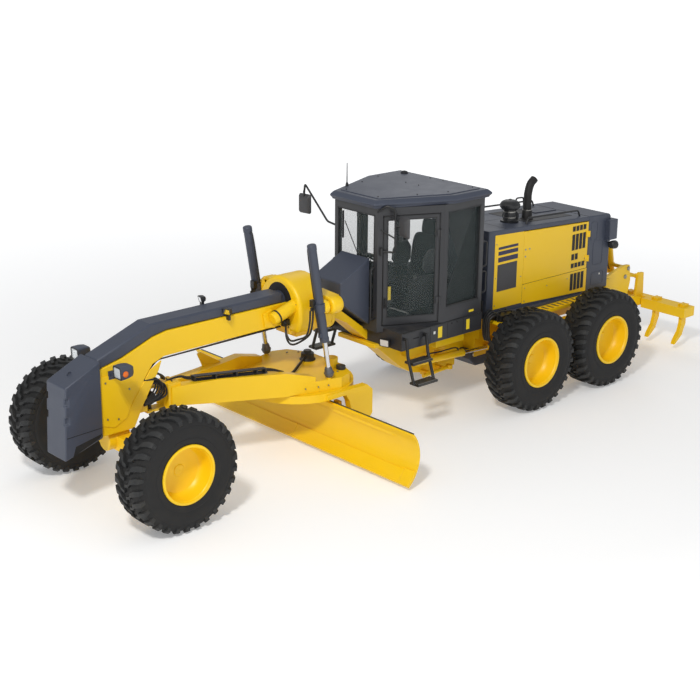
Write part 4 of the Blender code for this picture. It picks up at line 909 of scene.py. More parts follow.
lift_mouth = on_lift(1.50)
lift_length = (on_lift(2.76) - lift_mouth).length
front_of_lift = lift_line.cross(Vector((0, 1, 0))).normalized() * -1
front_of_lift = front_of_lift if front_of_lift.x > 0 else -front_of_lift
for label, side in SIDES:
    tube_profile = [(0.78, 0.0), (0.78, 0.0345), (0.0, 0.0345), (0.0, 0.052), (0.006, 0.058),
        (0.050, 0.060), (0.055, 0.0545), (lift_length - 0.075, 0.0545), (lift_length - 0.070, 0.058),
        (lift_length - 0.010, 0.058), (lift_length, 0.050), (lift_length, 0.0)]
    shells = [turned(tube_profile, lift_mouth, lift_line, 40)]
    shells.append(turned([(-0.05, 0.055), (-0.05, 0.070), (0.06, 0.070), (0.06, 0.055)], TRUNNION,
        lift_line, 40, closed=True))
    port = on_lift(1.60) + front_of_lift * 0.05
    shells.append(box_between(port - Vector((0.022, 0.022, 0.03)), port + Vector((0.022, 0.022, 0.03))))
    build(f"lift_tube_{label}", f"lift_barrel_{label}", SLATE, on_side(shells, side), bevel=0.0015,
        stands_for=(f"lift_barrel_{label}",))
    lug = [(0.0, 0.0), (0.0, 0.055), (0.006, 0.062), (0.035, 0.085), (0.085, 0.085),
        (0.100, 0.078), (0.104, 0.0)]
    yoke = [turned(lug, (ARM_FRONT + 0.004, DRUM_Y, DRUM_Z), (1, 0, 0), 40)]
    build(f"lift_yoke_{label}", f"lift_barrel_{label}", YELLOW, on_side(yoke, side), bevel=0)
    side_of_lift = Vector((0, -1, 0))
    line_points = [on_lift(2.70) + side_of_lift * 0.05, on_lift(2.69) + side_of_lift * 0.085,
        on_lift(2.55) + side_of_lift * 0.092, on_lift(2.06) + side_of_lift * 0.092,
        on_lift(2.02) + side_of_lift * 0.075]
    lower = [on_lift(2.00) + front_of_lift * 0.085, on_lift(1.80) + front_of_lift * 0.072,
        on_lift(1.63) + front_of_lift * 0.072, on_lift(1.60) + front_of_lift * 0.055]
    lines = [bent_bar(line_points, 0.010), bent_bar(lower, 0.009)]
    valve = on_lift(2.02) + front_of_lift * 0.075 + side_of_lift * 0.04
    lines.append(box_between(valve - Vector((0.035, 0.035, 0.045)), valve + Vector((0.02, 0.035, 0.045))))
    lines += [bar(valve + Vector((-0.01 + 0.03 * k, 0.0, -0.05)),
        valve + Vector((-0.01 + 0.03 * k, 0.0, -0.09)), 0.013, 12) for k in (0, 1)]
    build(f"lift_oil_line_{label}", f"lift_barrel_{label}", BLACK, on_side(lines, side), bevel=0.001)
    hoses = []
    for shift, dip in ((0.0, 1.455), (0.045, 1.50)):
        top = valve + Vector((-0.01 + shift, 0, -0.085))
        hoses.append(tube([top, top + Vector((0.012, 0, -0.16)), top + Vector((0.03, -0.04, -0.32)),
            (back(2.36), 0.42, dip + 0.03), (back(2.33), 0.32, dip), (back(2.34), 0.23, dip + 0.06),
            (back(2.36), 0.19, 1.66)], 0.0125, 10))
    piece = build(f"lift_hoses_{label}", None, HOSE, on_side(hoses, side), bevel=0)
    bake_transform(piece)
    rod_end = on_lift(1.50 + 0.42)
    rod_length = (rod_end - FOOT).length
    shells = [turned([(0.03, 0.0), (0.03, 0.0315), (rod_length, 0.0315), (rod_length, 0.0)], FOOT,
        lift_line, 36)]
    build(f"lift_piston_rod_{label}", f"lift_rod_{label}", CHROME, on_side(shells, side), bevel=0,
        stands_for=(f"lift_rod_{label}",))
    socket = [turned([(-0.046, 0.0), (-0.046, 0.040), (-0.030, 0.054), (-0.006, 0.058), (-0.004, 0.058),
        (0.0, 0.064), (0.012, 0.064), (0.016, 0.056), (0.055, 0.050), (0.085, 0.040), (0.090, 0.034),
        (0.090, 0.0)], FOOT, lift_line, 36)]
    for number in range(6):
        angle = 2 * pi * number / 6
        first, second = across(lift_line)
        socket += bolt_head(FOOT + lift_line * 0.014 + (first * cos(angle) + second * sin(angle)) * 0.053,
            lift_line, 0.012)
    build(f"lift_ball_socket_{label}", f"lift_rod_{label}", STEEL_GREY, on_side(socket, side), bevel=0,
        slot="dark_steel")
print("lift cylinders ready")

# %% [markdown]
# The drawbar and circle carry the blade. Their plates stay as they are; what is added is what a
# mechanic would look for: gear teeth inside the ring, bolts round its rim, the low turn motor, a
# slotted channel that guards the hoses along one arm, and a small ear on the other arm.

# %% Drawbar and circle
CIRCLE_X = back(2.68)
TEETH, TOOTH_FOOT, TOOTH_REACH = 64, 0.562, 0.030
teeth = []
for number in range(TEETH):
    angle = 2 * pi * number / TEETH
    outward, along = Vector((cos(angle), sin(angle), 0)), Vector((-sin(angle), cos(angle), 0))
    foot = Vector((CIRCLE_X, 0, 0)) + outward * TOOTH_FOOT
    tip = foot - outward * TOOTH_REACH
    corners = [foot + along * 0.018, tip + along * 0.008, tip - along * 0.008, foot - along * 0.018]
    teeth.append(slab([(c.x, c.y) for c in corners], "z", 0.765, 0.835))
build("circle_teeth", "circle", ZINC, teeth, bevel=0, slot="dark_steel")
motor = [turned([(-0.02, 0.0), (-0.02, 0.105), (0.02, 0.105), (0.03, 0.088), (0.10, 0.084), (0.11, 0.055),
    (0.135, 0.050), (0.135, 0.0)], (back(2.98), -0.12, 0.995), (0, 0, 1), 36)]
motor.append(turned([(0.0, 0.0), (0.0, 0.062), (0.05, 0.060), (0.058, 0.045), (0.058, 0.0)],
    (back(3.06), 0.44, 0.995), (0, 0, 1), 28))
build("circle_turn_motor", "drawbar", BLACK, motor, bevel=0.003)
PLATE_CIRCLE = 0.66
rim_bolts = []
for angle_degrees in (24, 40, 56, 72, 90, 108):
    angle = radians(angle_degrees)
    if PLATE_CIRCLE * sin(angle) < 0.60:
        spot = (CIRCLE_X + PLATE_CIRCLE * cos(angle), PLATE_CIRCLE * sin(angle), 1.0)
        rim_bolts += bolt_head(spot, (0, 0, 1), 0.018)
for distance, y in ((2.10, 0.478), (2.35, 0.578), (2.52, 0.625), (2.66, 0.655)):
    rim_bolts += bolt_head((back(distance), y, 0.93), (-0.25, 1, 0), 0.016)
for distance, y in ((0.72, 0.05), (0.72, -0.05), (2.95, 0.50), (3.08, 0.42)):
    rim_bolts += bolt_head((back(distance), y, 1.27 if distance < 1 else 1.0), (0, 0, 1), 0.020)
build("drawbar_bolts", "drawbar", ZINC, both_sides(rim_bolts), bevel=0)
channel = [(0.98, 1.235, 0.10), (1.90, 1.195, 0.355)]
(near, near_top, near_y), (far, far_top, far_y) = channel
shells = []
for lift, depth in ((0.0, 0.006), (0.055, 0.006)):
    shells.append(skin([[(back(near), near_y - 0.035, near_top + lift), (back(near), near_y + 0.045,
        near_top + lift), (back(near), near_y + 0.045, near_top + lift + depth),
        (back(near), near_y - 0.035, near_top + lift + depth)], [(back(far), far_y - 0.035, far_top + lift),
        (back(far), far_y + 0.045, far_top + lift), (back(far), far_y + 0.045, far_top + lift + depth),
        (back(far), far_y - 0.035, far_top + lift + depth)]]))
for share in (0.02, 0.30, 0.58, 0.86, 0.98):
    x, y, z = back(near + (far - near) * share), near_y + (far_y - near_y) * share, near_top + (far_top
        - near_top) * share
    shells.append(box_between((x - 0.012, y - 0.03, z), (x + 0.012, y + 0.044, z + 0.06)))
build("hose_channel", "drawbar", BLACK, shells, bevel=0.001)
inner_hoses = []
for lift in (0.018, 0.043):
    inner_hoses.append(tube([(back(0.66), 0.03, 1.29), (back(0.84), 0.06, near_top + 0.06 + lift * 0.3),
        (back(near), near_y, near_top + lift), (back((near + far) / 2), (near_y + far_y) / 2,
        (near_top + far_top) / 2 + lift), (back(far), far_y, far_top + lift),
        (back(2.10), 0.40, far_top - 0.02), (back(2.34), 0.30, 1.02 + lift),
        (back(2.70), 0.06, 1.02 + lift), (back(2.92), -0.10, 1.05)], 0.011, 10))
build("drawbar_hoses", "drawbar", HOSE, inner_hoses, bevel=0)
ear = [(back(1.44), 1.20), (back(1.36), 1.38), (back(1.42), 1.39), (back(1.72), 1.20)]
build("drawbar_ear", "drawbar", YELLOW, [slab(ear, "y", -0.32, -0.298)], bevel=0.003)
print("drawbar and circle dressed")

# %% [markdown]
# The cab is mostly glass between slim dark posts. Each pane is a thin slab of tinted glass set a
# little inside its frame with a black rubber seal round it. The seat, the steering column and the
# two banks of levers show through it, so they are modelled, though plainly.

# %% Cab glass
CAB_FRONT, CAB_MIDDLE, CAB_REAR = back(3.70), back(4.52), back(5.28)
FRONT_HALF, MIDDLE_HALF, REAR_HALF = 0.41, 0.80, 0.78
FLOOR, ROOF_LOW = 1.40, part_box("cab_roof")[0].z
GLASS = 0.006
door_along = Vector((CAB_MIDDLE - CAB_FRONT, MIDDLE_HALF - FRONT_HALF, 0)).normalized()
door_out = Vector((door_along.y, -door_along.x, 0))


def door_spot(along, outward, height=0.0):
    """A point in the left door's own directions, from the cab's front corner."""
    return Vector((CAB_FRONT, FRONT_HALF, height)) + door_along * along + door_out * outward


def leaf(first, last, low, high, inner, outer):
    corners = [door_spot(first, inner), door_spot(last, inner), door_spot(last, outer),
        door_spot(first, outer)]
    return slab([(c.x, c.y) for c in corners], "z", low, high)


def leaf_frame(first, last, low, high, inner, outer, wide):
    return [leaf(first, last, low, low + wide, inner, outer), leaf(first, last, high - wide, high, inner,
        outer), leaf(first, first + wide, low, high, inner, outer), leaf(last - wide, last, low, high,
        inner, outer)]


DOOR_LOW, DOOR_HIGH = FLOOR + 0.028, ROOF_LOW - 0.108
for label, side in SIDES:
    pane = leaf(0.125, 0.795, DOOR_LOW + 0.095, DOOR_HIGH - 0.045, -0.026, -0.026 + GLASS)
    build(f"door_pane_{label}", f"cab_door_{label}", PANE, on_side([pane], side), bevel=0)
    seal = leaf_frame(0.128, 0.794, DOOR_LOW + 0.096, DOOR_HIGH - 0.046, -0.006, 0.003, 0.014)
    seal += leaf_frame(0.079, 0.838, DOOR_LOW + 0.002, DOOR_HIGH - 0.002, -0.004, 0.004, 0.010)
    build(f"door_seals_{label}", f"cab_door_{label}", PLASTIC, on_side(seal, side), bevel=0.001)
    handle = [leaf(0.088, 0.124, 1.66, 1.80, 0.0, 0.012),
        tube([door_spot(0.105, 0.010, 1.68), door_spot(0.107, 0.045, 1.70), door_spot(0.107, 0.047, 1.76),
        door_spot(0.105, 0.010, 1.785)], 0.009, 12)]
    build(f"door_handle_{label}", f"cab_door_{label}", BLACK, on_side(handle, side), bevel=0.002)
    rail = [bent_bar([door_spot(0.16, -0.035, 1.62), door_spot(0.20, -0.085, 1.64),
        door_spot(0.42, -0.085, 1.56), door_spot(0.45, -0.035, 1.55)], 0.010)]
    build(f"door_inner_rail_{label}", f"cab_door_{label}", ZINC, on_side(rail, side), bevel=0)
    build(f"door_notice_{label}", f"cab_door_{label}", LABEL,
        on_side([leaf(0.155, 0.195, 1.76, 1.94, -0.028, -0.0265)], side), bevel=0)
window_low, window_high = 1.595, ROOF_LOW - 0.098
fixed_panes, fixed_seals = [], []
for side in (1, -1):
    outline = [(CAB_REAR + 0.075, side * (REAR_HALF - 0.030)),
        (CAB_MIDDLE - 0.055, side * (MIDDLE_HALF - 0.032)),
        (CAB_MIDDLE - 0.055, side * (MIDDLE_HALF - 0.038)), (CAB_REAR + 0.075, side * (REAR_HALF - 0.036))]
    fixed_panes.append(slab(outline, "z", window_low, window_high))
    for x0, x1, z0, z1 in ((CAB_REAR + 0.08, CAB_MIDDLE - 0.06, window_low, 1.616),
            (CAB_REAR + 0.08, CAB_MIDDLE - 0.06, window_high - 0.016, window_high),
            (CAB_REAR + 0.08, CAB_REAR + 0.096, window_low, window_high),
            (CAB_MIDDLE - 0.076, CAB_MIDDLE - 0.06, window_low, window_high)):
        fixed_seals.append(box_between((x0, side * 0.765, z0), (x1, side * 0.792, z1)))
fixed_panes.append(box_between((CAB_FRONT - 0.034, -0.352, 1.615), (CAB_FRONT - 0.028, 0.352, window_high)))
fixed_panes.append(box_between((CAB_REAR + 0.028, -0.662, 1.745), (CAB_REAR + 0.034, 0.662, window_high)))
for x0, x1, half, low in ((CAB_FRONT - 0.012, CAB_FRONT + 0.004, 0.352, 1.62),
        (CAB_REAR - 0.004, CAB_REAR + 0.012, 0.662, 1.75)):
    for sign in (1, -1):
        fixed_seals.append(box_between((x0, sign * (half - 0.014), low), (x1, sign * half, window_high)))
    for z in (low - 0.002, window_high - 0.014):
        fixed_seals.append(box_between((x0, -half, z), (x1, half, z + 0.014)))
build("cab_panes", "front_frame", PANE, fixed_panes, bevel=0)
build("cab_pane_seals", "front_frame", PLASTIC, fixed_seals, bevel=0.001)
print("cab glazed")

# %% [markdown]
# The roof is a shallow pan with a raised middle. One plan outline, scaled about its middle at a few
# heights, makes both, so that their corners stay in line.

# %% Roof moulding
roof_plan = [(back(3.62), 0.42), (back(4.68), 0.87), (back(5.32), 0.87)]
roof_plan += [(x, -y) for x, y in reversed(roof_plan)]
roof_middle = sum(x for x, y in roof_plan) / len(roof_plan)
ROOF_TOP = 3.10


def roof_ring(height, shrink):
    return [Vector((roof_middle + (x - roof_middle) * shrink, y * shrink, height)) for x, y in roof_plan]


profile = ((ROOF_LOW, 0.90), (ROOF_LOW, 0.965), (ROOF_LOW + 0.022, 0.975), (ROOF_LOW + 0.045, 1.0),
    (ROOF_LOW + 0.065, 0.998), (ROOF_TOP - 0.020, 0.955), (ROOF_TOP - 0.012, 0.935),
    (ROOF_TOP - 0.016, 0.90))
build("roof_moulding", "front_frame", SLATE, [skin([roof_ring(z, s) for z, s in profile])], bevel=0.006,
    stands_for=("cab_roof",))
build("roof_panel", "front_frame", SLATE, [skin([roof_ring(ROOF_TOP - 0.020, 0.86),
    roof_ring(ROOF_TOP - 0.006, 0.855), roof_ring(ROOF_TOP - 0.001, 0.80)])], bevel=0.004)
aerial = [turned([(-0.005, 0.0), (-0.005, 0.021), (0.03, 0.018), (0.05, 0.008), (0.30, 0.005),
    (0.305, 0.0)], (back(3.99), -0.50, ROOF_TOP - 0.01), (0, 0, 1), 16)]
dome = [turned([(-0.005, 0.0), (-0.005, 0.052), (0.012, 0.051), (0.026, 0.040), (0.034, 0.020),
    (0.036, 0.0)], (back(5.12), -0.58, ROOF_TOP), (0, 0, 1), 32)]
build("roof_aerial_and_dome", "front_frame", BLACK, aerial + dome, bevel=0)
roof_bolts = []
for x, y in ((back(3.80), 0.30), (back(4.28), 0.52), (back(4.70), 0.66), (back(5.16), 0.66),
        (back(4.70), 0.12), (back(5.16), 0.12)):
    roof_bolts += bolt_head((x, y, ROOF_TOP - 0.003), (0, 0, 1), 0.015)
build("roof_bolts", "front_frame", BLACK, both_sides(roof_bolts), bevel=0)
lamps = []
for y in (0.60, -0.60):
    lamps.append(lofted((back(5.335), y, 2.95), (-1, 0, -0.35), rounded_rect(0.062, 0.045, 0.012),
        ((-0.045, 0.55), (-0.035, 0.85), (0.0, 1.0), (0.006, 0.98), (0.006, 0.86), (-0.004, 0.82))))
build("rear_roof_lamps", "front_frame", PLASTIC, lamps, bevel=0)
print("roof ready")

# %% [markdown]
# A suspension seat is a cushion, a back rest and a head rest on rubber bellows. Each pad is a
# superellipsoid, which is crowned in the middle and pulls in at its corners as stuffed fabric does,
# with a raised piping where the covers are sewn together.

# %% Seat
SEAT_FABRIC = finish("seat_weave", (0.018, 0.018, 0.020), 0.92, dust=0.04, drift=0.25,
    grain=260.0, bump=0.0004)
SEAT_X = back(4.72)


def powered(value, power):
    return (abs(value) ** power) * (1 if value >= 0 else -1)


def pillow(centre, half, tilt=0.0, power=0.32, steps=18, around=44):
    """A stuffed pad: half sizes along X, Y, Z, tipped back by tilt about Y."""
    rings = []
    for step in range(1, steps):
        v = -pi / 2 + pi * step / steps
        ring = []
        for k in range(around):
            u = 2 * pi * k / around
            local = Vector((half[0] * powered(cos(v), power) * powered(cos(u), power),
                half[1] * powered(cos(v), power) * powered(sin(u), power), half[2] * powered(sin(v), 0.55)))
            ring.append(Vector(centre) + Matrix.Rotation(tilt, 3, "Y") @ local)
        rings.append(ring)
    return skin(rings)


def piping(centre, half, tilt=0.0, power=0.32, lift=0.0, sides=8):
    path = [Vector(centre) + Matrix.Rotation(tilt, 3, "Y") @ Vector((half[0] * powered(cos(u), power),
        half[1] * powered(sin(u), power), lift)) for u in (2 * pi * k / 64 for k in range(65))]
    return tube(path, 0.005, sides, smooth=False)


pads = {"seat_cushion": ((SEAT_X + 0.015, 0, 1.745), (0.255, 0.25, 0.065), 0.06),
        "seat_back_rest": ((SEAT_X - 0.265, 0, 2.08), (0.065, 0.235, 0.30), -0.14),
        "seat_head_rest": ((SEAT_X - 0.345, 0, 2.46), (0.045, 0.13, 0.105), -0.14)}
for name, (centre, half, tilt) in pads.items():
    piece = build(name, "front_frame", SEAT_FABRIC, [pillow(centre, half, tilt)], bevel=0,
        slot="seat_cloth", stands_for=("seat",) if name == "seat_cushion" else ())
seams = [piping(pads["seat_cushion"][0], (0.257, 0.252), 0.06, lift=0.01), piping(pads["seat_cushion"][0],
    (0.17, 0.15), 0.06, lift=0.0645)]
build("seat_piping", "front_frame", PLASTIC, seams, bevel=0)
bellows = []
for step in range(13):
    bellows.append([Vector((SEAT_X + a, b, FLOOR + 0.03 + step * 0.021)) for a,
        b in rounded_rect(0.19 - 0.018 * (step % 2), 0.19 - 0.018 * (step % 2), 0.04)])
frame_shapes = [skin(bellows), box_between((SEAT_X - 0.20, -0.20, FLOOR + 0.001),
    (SEAT_X + 0.20, 0.20, FLOOR + 0.03))]
for side in (1, -1):
    frame_shapes.append(bar((SEAT_X - 0.33, side * 0.06, 2.32), (SEAT_X - 0.345, side * 0.06,
        2.40), 0.008, 10))
    console = [(SEAT_X - 0.22, 1.52), (SEAT_X + 0.34, 1.52), (SEAT_X + 0.36, 1.86), (SEAT_X + 0.22, 1.93),
        (SEAT_X - 0.20, 1.90)]
    frame_shapes.append(slab(console, "y", side * 0.29, side * 0.42))
build("seat_bellows_and_consoles", "front_frame", INTERIOR, frame_shapes, bevel=0.008)
arm_rest = [(SEAT_X - 0.26, 1.98), (SEAT_X - 0.20, 1.92), (SEAT_X + 0.02, 1.94), (SEAT_X + 0.08, 2.02),
    (SEAT_X + 0.06, 2.16), (SEAT_X - 0.03, 2.25), (SEAT_X - 0.20, 2.25), (SEAT_X - 0.27, 2.15)]
build("seat_side_guards", "front_frame", GUARD_GREY, both_sides([slab(arm_rest, "y", 0.275, 0.315)]),
    bevel=0.012, segments=3, slot="dark_steel")
print("seat ready")

# %% [markdown]
# The driver looks over a slim column with a small wheel and two banks of levers. They are plain bars
# and knobs, set out by two loops, because they are seen through tinted glass.

# %% Controls
column_foot, column_top = Vector((back(3.98), 0, FLOOR + 0.01)), Vector((back(4.10), 0, 2.02))
column_axis = (column_top - column_foot).normalized()
shapes = [slab([(back(3.92), FLOOR), (back(4.12), FLOOR), (back(4.16), 1.95), (back(4.02), 2.04),
    (back(3.90), 1.98)], "y", -0.085, 0.085)]
shapes.append(slab([(back(3.86), 1.93), (back(4.14), 1.93), (back(4.10), 2.02), (back(3.88), 2.06)],
    "y", -0.30, 0.30))
shapes.append(slab([(back(3.76), 2.05), (back(3.86), 2.04), (back(3.84), 2.22), (back(3.77), 2.25)],
    "y", -0.24, 0.24))
shapes.append(box_between((CAB_REAR + 0.06, -0.68, FLOOR + 0.001), (CAB_REAR + 0.26, 0.68, 1.84)))
shapes.append(box_between((back(4.50), 0.60, FLOOR + 0.001), (back(5.20), 0.70, 1.56)))
build("steering_console", "front_frame", INTERIOR, shapes, bevel=0.010)
wheel_centre = column_top + column_axis * 0.14
tilted = (column_axis + Vector((-0.45, 0, 0))).normalized()
first, second = across(tilted)
wheel_path = [wheel_centre + (first * cos(2 * pi * k / 40) + second * sin(2 * pi * k / 40)) * 0.19
    for k in range(41)]
shapes = [tube(wheel_path, 0.014, 10, smooth=False), bar(column_top - column_axis * 0.02,
    wheel_centre, 0.022)]
for k in range(3):
    spoke = first * cos(2 * pi * k / 3) + second * sin(2 * pi * k / 3)
    shapes.append(bar(wheel_centre, wheel_centre + spoke * 0.185, 0.012, 10))
shapes.append(turned([(-0.02, 0.0), (-0.02, 0.045), (0.01, 0.045), (0.018, 0.03), (0.018, 0.0)],
    wheel_centre, tilted, 28))
for sign in (1, -1):
    for number in range(5):
        foot = Vector((back(4.06), sign * (0.13 + 0.038 * number), 2.00))
        knob = foot + Vector((-0.035, 0, 0.17 + 0.008 * (number % 2)))
        shapes += [bar(foot, knob, 0.006, 8), turned([(-0.02, 0.0), (-0.016, 0.012), (0.0, 0.015),
            (0.018, 0.012), (0.022, 0.0)], knob, knob - foot, 14)]
build("wheel_and_levers", "front_frame", PLASTIC, shapes, bevel=0)
knobs = [turned([(0, 0.0), (0, 0.018), (0.03, 0.02), (0.04, 0.0)], (back(4.45), side * 0.35, 1.93),
    (0.2, 0, 1), 20) for side in (1, -1)]
build("console_knobs", "front_frame", ZINC, knobs, bevel=0)
print("controls ready")

# %% [markdown]
# Mirrors stand on tube frames ahead of the posts. The shell is a shallow rounded tray and the glass
# is a slightly smaller plate in its rear face.

# %% Mirrors, rails and lamps on the cab
def mirror_shell(centre, facing, half_wide, half_high, corner=0.03):
    outline = rounded_rect(half_wide, half_high, corner)
    tray = lofted(centre, facing, outline, ((-0.05, 0.55), (-0.045, 0.72), (-0.03, 0.90), (-0.008, 1.0),
        (0.0, 0.985), (0.0, 0.93), (-0.006, 0.92)))
    glass = lofted(centre, facing, outline, ((-0.004, 0.92), (-0.001, 0.915)))
    return tray, glass


near_mirror, far_mirror = Vector((back(3.90), 0.70, 2.76)), Vector((back(3.90), -1.235, 2.74))
trays, glasses = [], []
for centre, facing, half_wide in ((near_mirror, (-1, 0.25, 0), 0.12), (far_mirror, (-1, -0.15, 0), 0.105)):
    tray, glass = mirror_shell(centre, facing, half_wide, 0.135)
    trays.append(tray)
    glasses.append(glass)
build("mirror_trays", "front_frame", GUARD_GREY, trays, bevel=0, slot="dark_steel")
build("mirror_glasses", "front_frame", MIRROR, glasses, bevel=0)
arms = [bent_bar([(back(3.70), 0.40, 2.93), (back(3.76), 0.50, 3.02), (back(3.84), 0.585, 2.98),
    (back(3.84), 0.585, 2.42), (back(3.74), 0.44, 2.42)], 0.014), bar((back(3.84), 0.585, 2.76),
    (back(3.87), 0.64, 2.76), 0.012), bar((back(3.74), 0.43, 2.70), (back(3.84), 0.585, 2.60), 0.010),
    bent_bar([(back(3.72), -0.42, 2.62), (back(3.74), -0.60, 2.63), (back(3.84), -1.06, 2.92),
    (back(3.86), -1.20, 3.02), (back(3.87), -1.235, 2.80)], 0.014), bar((back(3.87), -1.235, 2.74),
    (back(3.87), -1.235, 2.92), 0.012)]
arms.append(turned([(-0.05, 0.020), (0.05, 0.020)], (back(3.73), 0.45, 2.42), (0, 0, 1), 20))
build("mirror_arms", "front_frame", BLACK, arms, bevel=0)
grab_rails = []
for x, y, low, high in ((back(5.31), 0.76, 2.02, 2.36), (back(5.31), 0.76, 1.66, 1.95),
        (back(3.69), 0.36, 1.52, 2.20)):
    reach = -0.055 if x < back(5) else 0.06
    grab_rails.append(bent_bar([(x - reach * 0.6, y, low), (x + reach, y + 0.005, low),
        (x + reach, y + 0.005, high), (x - reach * 0.6, y, high)], 0.011, 0.05))
build("cab_grab_rails", "front_frame", BLACK, both_sides(grab_rails), bevel=0)
wipers = [bar((CAB_FRONT + 0.012, 0.05, 2.33), (CAB_FRONT + 0.012, -0.20, 2.72), 0.006, 8),
    box_between((CAB_FRONT - 0.02, -0.26, 2.48), (CAB_FRONT + 0.006, -0.25, 2.84)),
    bar((CAB_FRONT + 0.012, 0.30, 1.70), (CAB_FRONT + 0.012, 0.28, 2.15), 0.006, 8)]
build("windscreen_wipers", "front_frame", PLASTIC, wipers, bevel=0)
print("mirrors and rails ready")

# %% [markdown]
# Below the doors the cab base carries lids, vents and notices. The seams are dark strips a millimetre
# proud of the plate, which at this size read as gaps, and the notices are blank. The vent slots and
# holes are flat dark strips and discs of painted shade.

# %% Cab base: vents, lids, labels and the low work lamp
base_side, base_front = 0.80, back(3.78)
seams, slots = [], []
for x in (back(4.30), back(4.62), back(4.92)):
    seams.append(box_between((x - 0.003, base_side - 0.002, 1.18), (x + 0.003, base_side + 0.0012, 1.385)))
seams.append(box_between((back(5.26), base_side - 0.002, 1.398),
    (base_front - 0.01, base_side + 0.0012, 1.404)))
# The vent slots and holes are flat dark strips and discs of painted shade.
for x in (back(4.04), back(4.20)):
    slots.append(box_between((x - 0.055, base_side - 0.002, 1.285), (x + 0.055, base_side + 0.0015, 1.300)))
for x in (back(4.70), back(4.80)):
    slots.append(turned([(0, 0.0), (0, 0.010), (0.004, 0.009), (0.004, 0.0)], (x, base_side, 1.36),
        (0, 1, 0), 16))
build("cab_base_seams_and_shaded_vents", "front_frame", SEAM_BLACK_AND_PAINTED_SHADE, both_sides(seams + slots), bevel=0)
notices = [box_between((back(4.52), base_side - 0.001, 1.205), (back(4.445), base_side + 0.002, 1.355)),
    box_between((back(5.04), base_side - 0.001, 1.215), (back(4.98), base_side + 0.002, 1.355)),
    box_between((back(5.12), 0.79, 1.445), (back(5.03), 0.7935, 1.475))]
build("cab_base_notices", "front_frame", LABEL, both_sides(notices), bevel=0)
build("cab_base_tag", "front_frame", PAPER, both_sides([box_between((back(4.395), base_side - 0.001, 1.275),
    (back(4.36), base_side + 0.002, 1.312))]), bevel=0)
sill = [box_between((back(5.26), 0.74, 1.385), (back(3.80), 0.806, 1.398))]
build("cab_step_sill", "front_frame", BLACK, both_sides(sill), bevel=0.004)
lamp_place = Vector((back(3.70), 0.56, 1.235))
lamp_face = (1, 0.25, -0.1)
outline = rounded_rect(0.075, 0.052, 0.016)
lamp = [lofted(lamp_place, lamp_face, outline, ((-0.075, 0.45), (-0.06, 0.8), (-0.02, 0.98), (0.0, 1.0),
    (0.004, 0.97), (0.004, 0.86), (-0.006, 0.84)))]
lamp.append(bent_bar([(back(3.80), 0.56, 1.235), (back(3.76), 0.56, 1.235)], 0.014))
build("low_work_lamps", "front_frame", BLACK, both_sides(lamp), bevel=0)
build("low_work_lamp_lenses", "front_frame", PAPER,
    both_sides([lofted(lamp_place, lamp_face, outline, ((-0.003, 0.85), (0.002, 0.80),
    (0.003, 0.1)))]), bevel=0)
treads = []
for y, z in ((0.90, 1.031), (1.0, 0.771)):
    for k in range(5):
        treads.append(box_between((back(4.17), y - 0.062 + 0.031 * k, z),
            (back(3.83), y - 0.050 + 0.031 * k, z + 0.006)))
build("step_treads", "front_frame", ZINC, both_sides(treads), bevel=0.001)
print("cab base ready")

# %% [markdown]
# The engine housing has yellow side panels on a slate shell. Each panel is a plate a few millimetres
# proud of the shell, so the seams between them are real gaps. The upper plate belongs to the door
# and opens with it; the stripes, the blank plate and most of the louvres ride on one or the other.

# %% Engine side panels
HOOD_SIDE, PANEL_SKIN = 0.55, 0.005
PANEL_FRONT, DOOR_FRONT, PANEL_REAR = back(5.77), back(6.37), back(7.79)
DOOR_SILL, SEAM = 1.53, 0.004


def hood_top(x):
    share = (back(5.64) - x) / (back(5.64) - back(8.30))
    return 2.40 - 0.13 * share


def panel_foot(x):
    return 1.275 - 0.095 * (PANEL_FRONT - x) / (PANEL_FRONT - PANEL_REAR)


def side_plate(outline, thick=PANEL_SKIN, proud=0.0):
    return slab(outline, "y", HOOD_SIDE + proud - 0.0005, HOOD_SIDE + proud + thick)


column_rear = DOOR_FRONT + SEAM
column = [(PANEL_FRONT, panel_foot(PANEL_FRONT)), (PANEL_FRONT, hood_top(PANEL_FRONT) - 0.066),
    (column_rear, hood_top(column_rear) - 0.066), (column_rear, panel_foot(column_rear) + 0.02)]
strip = [(DOOR_FRONT - 0.004, panel_foot(DOOR_FRONT)), (DOOR_FRONT - 0.004, DOOR_SILL - SEAM),
    (PANEL_REAR, DOOR_SILL - SEAM), (PANEL_REAR, panel_foot(PANEL_REAR))]
build("engine_fixed_panels", "rear_frame", YELLOW,
    both_sides([side_plate(column), side_plate(strip)]), bevel=0.0015)
door = [(DOOR_FRONT, DOOR_SILL + 0.002), (DOOR_FRONT, hood_top(DOOR_FRONT) - 0.075),
    (PANEL_REAR + 0.012, hood_top(PANEL_REAR) - 0.075), (PANEL_REAR + 0.012, DOOR_SILL + 0.002)]
STRIPES = ((2.115, 2.152), (2.034, 2.090), (1.937, 2.004))
stripe_front, stripe_rear = back(5.84), back(6.245)
decals = []
for low, high in STRIPES:
    corners = [(stripe_front, low), (stripe_front, high), (stripe_rear, high), (stripe_rear, low)]
    decals.append(side_plate(corners, 0.0012, PANEL_SKIN))
build("navy_stripes", "rear_frame", NAVY, both_sides(decals), bevel=0)
plate = [(back(5.832), 1.52), (back(5.832), 1.903), (back(6.235), 1.903), (back(6.235), 1.52)]
build("blank_plate", "rear_frame", GUARD_GREY, both_sides([side_plate(plate, 0.0012, PANEL_SKIN)]), bevel=0,
    slot="grey_paint")
COLUMNS = [back(7.45 + 0.080 * number) for number in range(4)]
LOUVRES = ((2.125, 2.200, 4), (1.845, 2.080, 4), (1.700, 1.790, 2), (1.580, 1.650, 4), (1.245, 1.495, 4))


SLOT_HALF, FIN_HALF = 0.027, 0.003


def upright_strip(x, half, low, high, thick):
    return side_plate([(x - half, low), (x - half, high), (x + half, high), (x + half, low)],
        thick, PANEL_SKIN)
